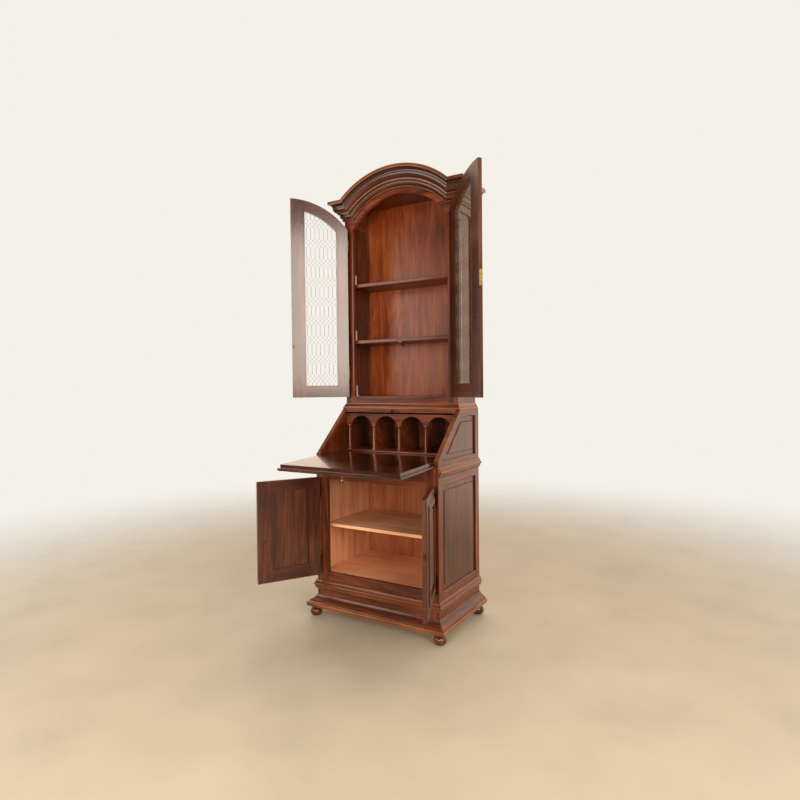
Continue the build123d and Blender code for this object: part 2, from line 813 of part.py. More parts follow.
def build_elbow_catch(shelf_bottom):
    """Sprung elbow catch that hangs under the lower shelf: a bracket, and a lever with a hooked nose."""
    back_y = hutch_inside_front + catch_setback
    pivot_z = shelf_bottom - catch_drop
    plate_bottom = shelf_bottom - catch_plate
    ear_low = pivot_z - catch_ear_reach
    ears = (catch_x - catch_ear_offset, catch_x + catch_ear_offset - catch_ear_thickness)
    with BuildPart() as bracket:
        with BuildSketch(Plane.XY.offset(plate_bottom)):
            with Locations((catch_x, back_y)):
                Rectangle(catch_plate_width, catch_plate_length)
        extrude(amount=catch_plate)
        for ear_x in ears:
            with BuildSketch(side_plane(ear_x)):
                with BuildLine():
                    ear_top = [(back_y - 6, plate_bottom), (back_y + 6, plate_bottom)]
                    Polyline(*ear_top, (back_y + 4, ear_low), (back_y - 4, ear_low), close=True)
                make_face()
            extrude(amount=catch_ear_thickness)
        with BuildSketch(side_plane(ears[0])):
            with Locations((back_y, pivot_z)):
                Circle(catch_pin_radius)
        extrude(amount=2 * catch_ear_offset)
    save(bracket, "elbow_catch_bracket")
    with BuildPart() as lever:
        with BuildSketch(side_plane(catch_x - catch_lever_width / 2)):
            with BuildLine():
                Polyline(*[(back_y + run, pivot_z + rise) for run, rise in catch_lever_outline], close=True)
            make_face()
            with Locations((back_y, pivot_z)):
                Circle(catch_pin_radius + pin_clearance, mode=Mode.SUBTRACT)
        extrude(amount=catch_lever_width)
    save(lever, "elbow_catch_lever")


# ---------------------------------------------------------------- cornice
def crown_outline(inset):
    """Zone above the line of the returns and between the two mitres, where the arched crown runs."""
    drop = return_bottom - arch_centre_height
    mitre_low = math.sqrt(cornice_inner_radius**2 - drop**2)
    mitre_high = math.sqrt(cornice_outer_radius**2 - (drop + cornice_height) ** 2)
    lean = (mitre_high - mitre_low) / cornice_height
    top = arch_centre_height + cornice_outer_radius + edge_ease - return_bottom
    corners = [(mitre_low - inset, return_bottom), (mitre_low - inset + lean * top, return_bottom + top)]
    with BuildLine() as outline:
        Polyline(*corners, *[(-x, z) for x, z in reversed(corners)], close=True)
    make_face(outline.edges())


def build_cornice():
    """The arched crown moulding and, on each side, a short front return and a side return."""
    crown_start = (0, hutch_front, arch_centre_height + cornice_inner_radius)
    with BuildPart() as arch:
        with BuildSketch(run_plane(crown_start, FRONT)) as section:
            cornice_section()
        revolve(section.sketch, axis=Axis((0, 0, arch_centre_height), (0, 1, 0)))
        with BuildSketch(front_plane(hutch_front)) as zone:
            crown_outline(glue_line / 2)
        extrude(zone.sketch, amount=cornice_projection, mode=Mode.INTERSECT)
    save(arch, "cornice_arch")

    reach = half_hutch + cornice_projection
    with BuildPart() as front_returns:
        with BuildSketch(run_plane((0, hutch_front, return_bottom), FRONT)) as section:
            cornice_section()
        extrude(section.sketch, amount=reach, both=True)
        with BuildSketch(front_plane(hutch_front)) as zone:
            crown_outline(-glue_line / 2)
        extrude(zone.sketch, amount=cornice_projection, mode=Mode.SUBTRACT)
        for _, side in SIDES:
            with BuildSketch(Plane.XY.offset(return_bottom)) as corner:
                corner_outline(side * half_hutch, hutch_front, cornice_projection, side, False)
            extrude(corner.sketch, amount=cornice_height, mode=Mode.SUBTRACT)
    save(front_returns, "cornice_front_returns")

    with BuildPart() as side_returns:
        for _, side in SIDES:
            run_start = (side * half_hutch, case_back, return_bottom)
            with BuildSketch(run_plane(run_start, (side, 0, 0))) as section:
                cornice_section()
            extrude(section.sketch, amount=side * (hutch_depth + cornice_projection))
            with BuildSketch(Plane.XY.offset(return_bottom)) as corner:
                corner_outline(side * half_hutch, hutch_front, cornice_projection, side, True)
            extrude(corner.sketch, amount=cornice_height, mode=Mode.SUBTRACT)
    save(side_returns, "cornice_side_returns")


# ---------------------------------------------------------------- fall front
def build_fall():
    """The drop front in its open pose: inner board, lipped outer board, applied moulding, lock and key."""
    droop = math.radians(fall_droop)
    along = Vector(0, -math.cos(droop), -math.sin(droop))
    section = Plane(origin=pivot, x_dir=along, z_dir=(1, 0, 0))
    leaf = Plane(origin=pivot, x_dir=(1, 0, 0), z_dir=section.y_dir)
    body_half = case_inner - fall_end_gap
    body_end = fall_length - fall_heel
    lip_end = body_end + fall_lip_overhang
    lip_half = body_half + fall_lip_overhang
    outer_face = lip_depth + fall_lip_thickness

    def section_box(u_range, w_range, x_range, mode=Mode.ADD):
        """A box by its run along the fall, its depth from the pivot and its place across the desk."""
        with BuildSketch(section.offset(x_range[0])) as end:
            with Locations(((u_range[0] + u_range[1]) / 2, (w_range[0] + w_range[1]) / 2)):
                Rectangle(u_range[1] - u_range[0], w_range[1] - w_range[0])
        extrude(end.sketch, amount=x_range[1] - x_range[0], mode=mode)

    lock_x = (lock_middle - lock_width / 2, lock_middle + lock_width / 2)
    key_spot = (0, key_run * leaf_sign(leaf, along))
    with BuildPart() as body:
        section_box((-fall_heel, body_end), (-fall_pivot_depth, lip_depth), (-body_half, body_half))
        section_box((body_end - lock_depth, body_end + 1), (lock_low, lock_high), lock_x, Mode.SUBTRACT)
        with BuildSketch(section.offset(-body_half)):
            Circle(fall_plate_radius)
        extrude(amount=fall_plate_thickness, mode=Mode.SUBTRACT)
        with BuildSketch(section.offset(body_half)):
            Circle(fall_plate_radius)
        extrude(amount=-fall_plate_thickness, mode=Mode.SUBTRACT)
        with BuildSketch(leaf.offset(lip_depth)) as keyhole:
            with Locations(key_spot):
                Circle(key_shank_radius + key_clearance)
        extrude(keyhole.sketch, amount=-key_depth - 1, mode=Mode.SUBTRACT)
    save(body, "fall_board")

    field_u = (fall_lip_start + fall_field_margin, key_run - fall_field_margin / 2)
    field_x = (fall_field_margin - lip_half, lip_half - fall_field_margin)
    with BuildPart() as lip:
        section_box((fall_lip_start, lip_end), (lip_depth, outer_face), (-lip_half, lip_half))
        rim = lip.faces().sort_by(Axis(pivot, section.y_dir))[-1].edges()
        hinge_edge = rim.sort_by(Axis(pivot, along))[0]
        fillet([edge for edge in rim if edge != hinge_edge], radius=fall_lip_round)
        section_box(field_u, (outer_face, outer_face + fall_field_rise), field_x)
        chamfer(lip.faces().sort_by(Axis(pivot, section.y_dir))[-1].edges(), length=fall_field_rise - 1)
        with BuildSketch(leaf.offset(lip_depth)) as keyhole:
            with Locations(key_spot):
                Circle(key_shank_radius + key_clearance)
        extrude(keyhole.sketch, amount=fall_lip_thickness, mode=Mode.SUBTRACT)
    save(lip, "fall_lip")

    with BuildPart() as plates:
        for _, side in SIDES:
            with BuildSketch(section.offset(side * body_half)):
                Circle(fall_plate_radius)
                Circle(fall_pin_radius + fall_pin_clearance, mode=Mode.SUBTRACT)
            extrude(amount=-side * fall_plate_thickness)
    save(plates, "fall_pivot_plates")

    pin_reach = body_half - fall_plate_thickness + slip
    with BuildPart() as pins:
        for _, side in SIDES:
            with BuildSketch(section.offset(side * pin_reach)):
                Circle(fall_pin_radius)
            extrude(amount=side * (case_inner - pin_reach))
            with BuildSketch(section.offset(side * case_inner)):
                Circle(fall_washer_radius)
            extrude(amount=-side * fall_washer_thickness)
    save(pins, "fall_pivot_pins")

    bolt_x = (lock_middle - bolt_width / 2, lock_middle + bolt_width / 2)
    bolt_low = (lock_low + lock_high - bolt_thickness) / 2
    with BuildPart() as lock:
        section_box(
            (body_end - lock_depth, body_end),
            (lock_low + lock_slack, lock_high - lock_slack),
            (lock_x[0] + lock_slack, lock_x[1] - lock_slack),
        )
        section_box(
            (body_end - lock_depth + bolt_bed, body_end + 1),
            (bolt_low - lock_slack / 2, bolt_low + bolt_thickness + lock_slack / 2),
            (bolt_x[0] - lock_slack / 2, bolt_x[1] + lock_slack / 2),
            Mode.SUBTRACT,
        )
        with BuildSketch(leaf.offset(outer_face)) as escutcheon:
            with Locations(key_spot):
                Ellipse(*fall_escutcheon)
                Circle(key_shank_radius + key_clearance, mode=Mode.SUBTRACT)
        extrude(escutcheon.sketch, amount=escutcheon_thickness)
    save(lock, "fall_lock")
    with BuildPart() as bolt:
        bolt_end = (body_end - lock_depth + bolt_bed + lock_slack, body_end)
        section_box(bolt_end, (bolt_low, bolt_low + bolt_thickness), bolt_x)
    save(bolt, "fall_bolt")

    bow_depth = outer_face + key_shank_length
    with BuildPart() as key:
        with BuildSketch(leaf.offset(lip_depth - key_depth)):
            with Locations(key_spot):
                Circle(key_shank_radius)
        extrude(amount=bow_depth + key_depth - lip_depth)
        bow_centre = pivot + along * key_run + section.y_dir * (bow_depth + key_bow_height - 2)
        with BuildSketch(Plane(origin=bow_centre, x_dir=along, z_dir=(1, 0, 0))):
            Ellipse(key_bow_width, key_bow_height)
            Ellipse(key_bow_width - key_bow_wall, key_bow_height - key_bow_wall, mode=Mode.SUBTRACT)
        extrude(amount=key_bow_half_thickness, both=True)
    save(key, "fall_key")


def leaf_sign(leaf, along):
    """Sign that turns a distance along the fall into the leaf plane's own y coordinate."""
    return 1 if leaf.y_dir.dot(along) > 0 else -1


# ---------------------------------------------------------------- doors
def door_plane(side, half_span, face_y, angle):
    """Upright plane through the hinge pin: local x runs from the pin to the meeting edge, local y is up."""
    towards_meeting = Vector(-side, 0, 0).rotate(Axis.Z, side * angle)
    upright = towards_meeting.cross(Vector(0, 0, 1))
    return Plane(origin=(side * half_span, face_y - pin_offset, 0), x_dir=towards_meeting, z_dir=upright)


def hanging(plane):
    """Movement that takes a door made upright on the bench, at the origin, to its hinge pin."""
    return plane.location * bench.location.inverse()


def slab(plane, side, low, high, outline, mode=Mode.ADD):
    """Extrude an outline between two depths, measured outwards from the pin axis of a door."""
    with BuildSketch(plane.offset(-side * low)) as face:
        outline()
    extrude(face.sketch, amount=-side * (high - low), mode=mode)


def rectangle_outline(a_range, z_range):
    """Rectangle from the hinge side to the meeting side and from bottom to top."""
    with Locations(((a_range[0] + a_range[1]) / 2, (z_range[0] + z_range[1]) / 2)):
        Rectangle(a_range[1] - a_range[0], z_range[1] - z_range[0])


def arched_edges(a_range, bottom, radius):
    """Door shape whose top is an arc about the middle of the desk."""
    low, high = a_range
    middle = (low + high) / 2
    rises = [math.sqrt(radius**2 - (upper_pin_half_span - a) ** 2) for a in (low, middle, high)]
    crown = [upper_door_arc_centre + rise for rise in rises]
    with BuildLine() as outline:
        Polyline((low, crown[0]), (low, bottom), (high, bottom), (high, crown[2]))
        ThreePointArc((high, crown[2]), (middle, crown[1]), (low, crown[0]))
    return outline.line


def arched_outline(a_range, bottom, radius):
    """Face inside the arched outline."""
    make_face(arched_edges(a_range, bottom, radius).edges())


def outer_edges(piece, plane, side):
    """The edges round the outward face of a door piece."""
    return piece.faces().sort_by(Axis(plane.origin, plane.z_dir * -side))[-1].outer_wire().edges()


def cylinder(x, y, bottom, top, radius, mode=Mode.ADD):
    """Upright round bar or hole between two heights."""
    with BuildSketch(Plane.XY.offset(bottom)) as disc:
        with Locations((x, y)):
            Circle(radius)
    extrude(disc.sketch, amount=top - bottom, mode=mode)


def hinge_leaves(name, plane, side, heights, strike):
    """Door leaf of each hinge, with its middle knuckle, and the strike plate where the door has one."""
    x = plane.origin.X
    y = plane.origin.Y
    third = hinge_height / 3
    leaf_a = (door_edge_offset - leaf_thickness, door_edge_offset)
    with BuildPart() as leaves:
        for height in heights:
            span = (height - hinge_height / 2, height + hinge_height / 2)
            slab(plane, side, inner_depth + 1, -inner_depth - 1, lambda: rectangle_outline(leaf_a, span))
        for height in heights:
            for low in (height - third * 1.5, height + third * 0.5):
                clear = (low - knuckle_gap, low + third + knuckle_gap)
                cylinder(x, y, *clear, knuckle_radius + knuckle_gap, Mode.SUBTRACT)
            knuckle = (height - third / 2 + knuckle_gap, height + third / 2 - knuckle_gap)
            cylinder(x, y, *knuckle, knuckle_radius)
            cylinder(x, y, *knuckle, pin_radius + pin_clearance, Mode.SUBTRACT)
        if strike:
            plate_a = (strike[0] - strike_plate_half_width, strike[0] + strike_plate_half_width)
            plate_z = (strike[1] - strike_plate_half_height, strike[1] + strike_plate_half_height)
            plate_back = inner_depth - strike_plate_thickness
            slab(plane, side, plate_back, inner_depth, lambda: rectangle_outline(plate_a, plate_z))
    save(leaves, name)


def build_hinges():
    """Frame leaves with the outer two knuckles of every hinge, and the pins that run through them."""
    third = hinge_height / 3
    hinges = [(upper_pin_half_span, hutch_front, height) for height in upper_hinge_heights]
    hinges += [(lower_pin_half_span, case_front, height) for height in lower_hinge_heights]
    with BuildPart() as leaves:
        for half_span, face_y, height in hinges:
            pin_y = face_y - pin_offset
            bottom = height - hinge_height / 2
            for _, side in SIDES:
                x = side * half_span
                with BuildSketch(Plane.XY.offset(bottom)) as profile:
                    with BuildLine():
                        Polyline(
                            (x, pin_y),
                            (x + side * leaf_thickness, pin_y),
                            (x + side * leaf_thickness, face_y - leaf_thickness),
                            (x + side * leaf_width, face_y - leaf_thickness),
                            (x + side * leaf_width, face_y),
                            (x, face_y),
                            close=True,
                        )
                    make_face()
                extrude(profile.sketch, amount=hinge_height)
                middle = (height - third / 2, height + third / 2)
                cylinder(x, pin_y, *middle, knuckle_radius + knuckle_gap, Mode.SUBTRACT)
                cylinder(x, pin_y, bottom, bottom + third, knuckle_radius)
                cylinder(x, pin_y, bottom + 2 * third, bottom + hinge_height, knuckle_radius)
                cylinder(x, pin_y, bottom, bottom + hinge_height, pin_radius, Mode.SUBTRACT)
    save(leaves, "hinge_frame_leaves")
    with BuildPart() as pins:
        for half_span, face_y, height in hinges:
            for _, side in SIDES:
                x = side * half_span
                y = face_y - pin_offset
                low = height - hinge_height / 2
                high = low + hinge_height
                cylinder(x, y, low, high, pin_radius)
                cylinder(x, y, low - pin_tip, low, pin_radius + 1)
                cylinder(x, y, high, high + pin_tip, pin_radius + 1)
    save(pins, "hinge_pins")


def lock_block(plane, side, meeting, height, tall, slack, mode=Mode.ADD):
    """The lock let into the meeting edge of a door, or with no slack the mortice for it."""
    low = inner_depth + door_lock_inset
    span = (height - tall / 2 + slack, height + tall / 2 - slack)
    depth = (low + slack, low + door_lock_thickness - slack)
    slab(plane, side, *depth, lambda: rectangle_outline((meeting - door_lock_depth, meeting), span), mode)


def door_lock(name, plane, side, meeting, height, tall):
    """Mortice lock with the pierced escutcheon on the outer face of the same door."""
    with BuildPart() as lock:
        lock_block(plane, side, meeting, height, tall, lock_slack)
        with BuildSketch(plane.offset(-side * outer_depth)) as escutcheon:
            with Locations((meeting - stile_meeting / 2, height)):
                Ellipse(*door_escutcheon)
                with Locations((0, 3)):
                    Circle(2.5, mode=Mode.SUBTRACT)
                with Locations((0, -3)):
                    Rectangle(2.2, 9, mode=Mode.SUBTRACT)
        extrude(escutcheon.sketch, amount=-side * escutcheon_thickness)
    save(lock, name)


def lattice_cells(a_range, z_range):
    """Open cells of the lattice: long hexagons, and between their rows three rows of small diamonds."""
    half = lattice_pitch / 2
    quarter = lattice_band / 4
    period = lattice_straight + lattice_band
    columns = range(-1, int((a_range[1] - a_range[0]) / lattice_pitch) + 2)
    first_row = int((z_range[0] - lattice_phase) / period) - 1
    rows = range(first_row, int((z_range[1] - lattice_phase) / period) + 2)
    straights = [a_range[0] + column * lattice_pitch for column in columns]
    middles = [a + half for a in straights]
    centres = [lattice_phase + row * period for row in rows]
    side_a = half - wire_radius
    shoulder = lattice_straight / 2
    with Locations(*[(a, z) for a in middles for z in centres]):
        Polygon(
            (side_a, -shoulder),
            (side_a, shoulder),
            (0, shoulder + quarter - 1.6 * wire_radius),
            (-side_a, shoulder),
            (-side_a, -shoulder),
            (0, 1.6 * wire_radius - shoulder - quarter),
        )
    small_a = half - 1.4 * wire_radius
    small_z = quarter - 1.6 * wire_radius
    bands = [z + period / 2 for z in centres]
    spots = [(a, z) for a in middles for z in bands]
    spots += [(a, z + offset) for a in straights for z in bands for offset in (-quarter, quarter)]
    with Locations(*spots):
        Polygon((small_a, 0), (0, small_z), (-small_a, 0), (0, -small_z))


def upper_door(word, side, angle):
    """Arched door: frame with its bead, wire lattice, hinge leaves and, on the right, the lock."""
    plane = door_plane(side, upper_pin_half_span, hutch_front, angle)
    meeting = upper_pin_half_span - door_meeting_gap / 2
    opening = (door_edge_offset + stile_hinge, meeting - stile_meeting)
    opening_bottom = upper_door_bottom + upper_bottom_rail
    opening_radius = upper_door_arc_radius - upper_arch_rail
    mesh_depth = inner_depth + mesh_setback

    def grown(grow):
        """The opening's outline, grown outwards all round."""
        a_range = (opening[0] - grow, opening[1] + grow)
        return lambda: arched_outline(a_range, opening_bottom - grow, opening_radius + grow)

    def whole():
        arched_outline((door_edge_offset, meeting), upper_door_bottom, upper_door_arc_radius)

    with BuildPart() as frame:
        slab(bench, side, inner_depth, outer_depth, whole)
        fillet(outer_edges(frame, bench, side), radius=door_edge_round)
        slab(bench, side, inner_depth, outer_depth, grown(0), Mode.SUBTRACT)
        slab(bench, side, inner_depth, mesh_depth + 2 * wire_radius, grown(mesh_rebate), Mode.SUBTRACT)
        if side > 0:
            lock_block(bench, side, meeting, upper_lock_height, upper_lock_tall, 0, Mode.SUBTRACT)
        slab(bench, side, inner_depth + 1, mesh_depth, grown(mesh_rebate - slip))
        slab(bench, side, inner_depth, mesh_depth, grown(0), Mode.SUBTRACT)
    save(frame, f"upper_door_{word}", hanging(plane))

    with BuildPart() as mesh:
        with BuildSketch(bench.offset(-side * mesh_depth)) as cells:
            lattice_cells(opening, (opening_bottom, upper_door_arc_centre + opening_radius))
            border_a = (opening[0] + mesh_border, opening[1] - mesh_border)
            border = arched_edges(border_a, opening_bottom + mesh_border, opening_radius - mesh_border)
            make_face(border.edges(), mode=Mode.INTERSECT)
        slab(bench, side, mesh_depth, mesh_depth + 2 * wire_radius, grown(mesh_rebate - slip))
        extrude(cells.sketch, amount=-side * 2 * wire_radius, mode=Mode.SUBTRACT)
    save(mesh, f"upper_mesh_{word}", hanging(plane))

    strike_z = hutch_shelf_heights[0] - hutch_shelf_thickness - upper_strike_drop
    strike = (upper_pin_half_span + catch_x, strike_z) if side < 0 else None
    hinge_leaves(f"upper_hinge_leaves_{word}", plane, side, upper_hinge_heights, strike)
    if side > 0:
        door_lock("upper_lock", plane, side, meeting, upper_lock_height, upper_lock_tall)


def lower_door(word, side, angle):
    """Panelled door: frame, raised panel and planted moulding, hinge leaves and, on the right, the lock."""
    plane = door_plane(side, lower_pin_half_span, case_front, angle)
    meeting = lower_pin_half_span - door_meeting_gap / 2
    opening = (door_edge_offset + stile_hinge, meeting - stile_meeting)
    opening_z = (lower_door_bottom + lower_bottom_rail, lower_door_top - lower_top_rail)
    seat_depth = inner_depth + panel_seat
    panel_face = seat_depth + door_panel_thickness

    def grown(grow):
        """The opening's outline, grown outwards all round."""
        z_range = (opening_z[0] - grow, opening_z[1] + grow)
        return lambda: rectangle_outline((opening[0] - grow, opening[1] + grow), z_range)

    def whole():
        rectangle_outline((door_edge_offset, meeting), (lower_door_bottom, lower_door_top))

    with BuildPart() as frame:
        slab(bench, side, inner_depth, outer_depth, whole)
        fillet(outer_edges(frame, bench, side), radius=door_edge_round)
        slab(bench, side, inner_depth, outer_depth, grown(0), Mode.SUBTRACT)
        slab(bench, side, seat_depth, outer_depth, grown(panel_rebate), Mode.SUBTRACT)
        if side > 0:
            lock_block(bench, side, meeting, lower_lock_height, lower_lock_tall, 0, Mode.SUBTRACT)
    save(frame, f"lower_door_{word}", hanging(plane))

    with BuildPart() as panel:
        slab(bench, side, panel_face + glue_line, outer_depth, grown(panel_rebate - slip))
        slab(bench, side, outer_depth, outer_depth + door_moulding_rise, grown(2 * panel_rebate))
        sight = grown(-door_moulding_width)
        slab(bench, side, panel_face + glue_line, outer_depth + door_moulding_rise, sight, Mode.SUBTRACT)
        chamfer(outer_edges(panel, bench, side), length=door_moulding_chamfer)
        slab(bench, side, seat_depth, panel_face, grown(panel_rebate - slip))
        with BuildSketch(bench.offset(-side * panel_face)) as field:
            grown(-panel_field_margin)()
        extrude(field.sketch, amount=-side * door_field_rise, taper=door_field_taper)
    save(panel, f"lower_panel_{word}", hanging(plane))

    strike = (meeting - lower_strike_inset, lower_strike_height) if side < 0 else None
    hinge_leaves(f"lower_hinge_leaves_{word}", plane, side, lower_hinge_heights, strike)
    if side > 0:
        door_lock("lower_lock", plane, side, meeting, lower_lock_height, lower_lock_tall)


build_base()
build_sides()
build_cupboard()
build_desk()
build_hutch()
build_cornice()
build_shelf_pins()
build_fall()
build_hinges()
upper_door("left", -1, upper_left_open)
upper_door("right", 1, upper_right_open)
lower_door("left", -1, lower_left_open)
lower_door("right", 1, lower_right_open)
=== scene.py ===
import math

import bpy
import numpy as np
from mathutils import Matrix, Vector


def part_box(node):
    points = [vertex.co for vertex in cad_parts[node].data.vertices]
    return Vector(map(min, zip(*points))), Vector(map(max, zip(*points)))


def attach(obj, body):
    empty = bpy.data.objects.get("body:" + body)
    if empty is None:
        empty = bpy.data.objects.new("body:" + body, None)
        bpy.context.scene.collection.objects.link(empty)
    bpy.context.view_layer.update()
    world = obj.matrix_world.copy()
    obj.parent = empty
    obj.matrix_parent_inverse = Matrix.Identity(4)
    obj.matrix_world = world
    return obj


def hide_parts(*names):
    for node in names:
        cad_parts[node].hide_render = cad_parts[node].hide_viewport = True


bl_info = {
    "name": "Secretary desk",
    "version": (1, 0, 0),
    "blender": (4, 5, 0),
    "location": "3D View > Sidebar > Secretary",
    "description": "Run mouldings, turnings, wire lattice and finishes of an arched secretary desk",
    "category": "Object",
}

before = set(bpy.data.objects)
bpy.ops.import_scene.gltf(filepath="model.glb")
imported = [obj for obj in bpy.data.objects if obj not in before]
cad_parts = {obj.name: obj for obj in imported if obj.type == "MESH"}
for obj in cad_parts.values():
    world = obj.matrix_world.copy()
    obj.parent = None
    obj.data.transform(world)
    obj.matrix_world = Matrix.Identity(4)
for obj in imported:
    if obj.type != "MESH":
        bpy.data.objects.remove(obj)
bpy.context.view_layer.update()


# ---------------------------------------------------------------- colours
def linear(code):
    """Turn an sRGB hex colour into linear light with full alpha."""
    parts = [int(code[start : start + 2], 16) / 255 for start in (0, 2, 4)]
    return tuple(p / 12.92 if p <= 0.04045 else ((p + 0.055) / 1.055) ** 2.4 for p in parts) + (1.0,)


def colour(name, description, code):
    """A colour the user may change, whose default is an sRGB hex value."""
    return bpy.props.FloatVectorProperty(
        name=name,
        description=description,
        subtype="COLOR",
        size=4,
        min=0.0,
        max=1.0,
        default=linear(code),
    )


def length(name, description, metres):
    """A length the user may change, in metres."""
    return bpy.props.FloatProperty(name=name, description=description, default=metres, min=0.0, unit="LENGTH")


class SecretarySizes(bpy.types.PropertyGroup):
    """Sizes of the run and turned work that a user would change."""

    arris: length("Moulding arris", "How far each edge of a moulding is rubbed round", 0.0006)
    station: length("Arch station", "Distance between stations round the arched cornice", 0.006)
    wire: length("Wire radius", "Radius of one wire of the lattice", 0.0006)
    twist: length("Wire twist", "Length in which two wires turn once round each other", 0.012)


# Dark, middle and light tone of each timber: late wood or dark figure, body, and light streaks.
TIMBER_TONES = {
    "carcass": ("the stiles, rails and boards", "2a0d04", "5e270f", "85431f"),
    "moulding": ("the straight mouldings", "140602", "4f200c", "7f421f"),
    "cornice": ("the crown moulding", "0d0402", "371507", "5f2e14"),
    "door": ("the door frames", "1e0903", "431a0a", "663014"),
    "panel": ("the raised panels", "240b03", "4b1f0c", "703616"),
    "writing": ("the fall front", "180803", "39160a", "5a2914"),
    "veneer": ("the veneered arch", "351105", "642a10", "8f4a22"),
    "back": ("the bookcase back", "4c1804", "7f3814", "a65c2c"),
    "bare": ("the unstained cupboard boards", "c8875a", "edb084", "f8cda4"),
    # The cupboard back's tones are a darker copy of the bare boards: painted shade of the back deep in the
    # cupboard.
    "oiled": ("the oiled cupboard back", "7a4020", "a05e38", "b9774c"),
    "turned": ("the gallery", "371408", "6c341b", "945631"),
    "foot": ("the bun feet", "260d06", "532211", "7a3d21"),
}


class SecretaryColours(bpy.types.PropertyGroup):
    """Colours of metals, nylon, rubbed and highlit wood and surroundings, with the timbers' tones from the
    table above.
    """

    # Rubbed edge: wood where the stain is rubbed thin, and also a painted highlight on the outward arrises.
    worn: colour("Rubbed edge", "Wood showing where the stain is rubbed thin", "b06a3a")
    brass: colour("Brass", "Clean brass of hinges and locks", "c8a058")
    tarnish: colour("Tarnish", "Brown tarnish of old brass", "5c4222")
    old_brass: colour("Browned brass", "Hinges and buried locks gone brown under old polish", "6a4a28")
    old_tarnish: colour("Dark tarnish", "Near-black tarnish in the corners of the browned brass", "2c1a0e")
    wire: colour("Lattice wire", "Colour of the drawn brass wire", "6f6548")
    steel: colour("Key steel", "Nickel plating of the key", "b8b3a8")
    steel_worn: colour("Worn plating", "Duller steel where the plating has gone", "6d675c")
    bracket: colour("Brackets", "White moulded nylon of the corner brackets", "e8e4da")
    bracket_aged: colour("Brackets aged", "Faint yellowing of the nylon", "d6cfbd")
    floor: colour("Floor", "Pale floor near the desk", "b7b19d")
    backdrop: colour("Backdrop", "Pale surroundings", "f4f1e9")
    room: colour("Room light", "Warm light that the pale room throws on the desk", "f6e0cc")


for timber_name, (pieces, *codes) in TIMBER_TONES.items():
    for tone_name, code in zip(("dark", "middle", "light"), codes):
        label = f"{timber_name} {tone_name}".capitalize()
        tone = colour(label, f"{tone_name.capitalize()} tone of {pieces}", code)
        SecretaryColours.__annotations__[f"{timber_name}_{tone_name}"] = tone


# ---------------------------------------------------------------- places in the shared frame, in metres
CASE_HALF_WIDTH = 0.325
CASE_FRONT = -0.21
CASE_BACK = 0.21
HUTCH_HALF_WIDTH = 0.31
HUTCH_FRONT = 0.018
ARCH_CENTRE = 1.676
CORNICE_INNER_RADIUS = 0.349
CORNICE_SPRING = 1.913
CUPBOARD_HALF_WIDTH = 0.3054
CUPBOARD_TOP = 0.746
DOOR_PIN_OFFSET = 0.009
DOOR_STILE_REACH = 0.0603
MEETING_STILE_REACH = 0.06875
UPPER_PIN_SPAN = 0.284
LOWER_PIN_SPAN = 0.3
LEFT_ANGLE = 135
RIGHT_ANGLE = 141
LOWER_LEFT_ANGLE = 121
LOWER_RIGHT_ANGLE = 112
RUN_STATIONS = 9
SHARP_ANGLE = math.radians(32)
GRAIN_STEP = (1.7, 0.37)
MIRROR = np.array([-1, 1, 1])
BOX_TOLERANCE = 0.001


# ---------------------------------------------------------------- surfaces
def arc_points(start, middle, end, count=9):
    """Points on the circle through three points: centre where the bisectors cross, then equal turns."""
    (ax, ay), (bx, by), (cx, cy) = start, middle, end
    twice_area = 2 * (ax * (by - cy) + bx * (cy - ay) + cx * (ay - by))
    squares = [ax * ax + ay * ay, bx * bx + by * by, cx * cx + cy * cy]
    centre_x = (squares[0] * (by - cy) + squares[1] * (cy - ay) + squares[2] * (ay - by)) / twice_area
    centre_y = (squares[0] * (cx - bx) + squares[1] * (ax - cx) + squares[2] * (bx - ax)) / twice_area
    turns = [math.atan2(y - centre_y, x - centre_x) for x, y in (start, middle, end)]
    sweep = (turns[2] - turns[0]) % (2 * math.pi)
    if (turns[1] - turns[0]) % (2 * math.pi) > sweep:
        sweep -= 2 * math.pi
    angle = turns[0] + sweep * np.linspace(0, 1, count)
    radius = math.hypot(ax - centre_x, ay - centre_y)
    return np.stack([centre_x + radius * np.cos(angle), centre_y + radius * np.sin(angle)], axis=1)


def outline(*parts):
    """Points of a moulding or turning outline in metres from millimetre parts.

    A part of two numbers is a corner, and a part of two points is an arc from the corner before it
    through its first point to its second.
    """
    rows = [np.array([parts[0]], dtype=float)]
    for part in parts[1:]:
        if np.ndim(part) == 1:
            rows.append(np.array([part], dtype=float))
        else:
            rows.append(arc_points(rows[-1][-1], *part)[1:])
    return np.concatenate(rows) / 1000


def rubbed(section, arris):
    """Round every corner of a closed outline, and say how proud each point stands.

    Each corner becomes three points: one an arris back along each edge, and between them a quarter, a half
    and a quarter of those two and the corner. How proud a point stands, the mask of rubbed wear and painted
    highlight, is the sine of the turn at an outward corner, else 0.
    """
    back = np.roll(section, 1, axis=0) - section
    ahead = np.roll(section, -1, axis=0) - section
    back_length = np.linalg.norm(back, axis=1, keepdims=True)
    ahead_length = np.linalg.norm(ahead, axis=1, keepdims=True)
    before = section + back / back_length * np.minimum(arris, 0.3 * back_length)
    after = section + ahead / ahead_length * np.minimum(arris, 0.3 * ahead_length)
    middle = 0.25 * before + 0.5 * section + 0.25 * after
    turn = (ahead[:, 0] * back[:, 1] - ahead[:, 1] * back[:, 0]) / (ahead_length * back_length)[:, 0]
    area = np.sum(section[:, 0] * np.roll(section[:, 1], -1) - section[:, 1] * np.roll(section[:, 0], -1))
    proud = np.clip(turn * np.sign(area), 0, 1)
    points = np.stack([before, middle, after], axis=1).reshape(-1, 2)
    return points, np.repeat(proud, 3)


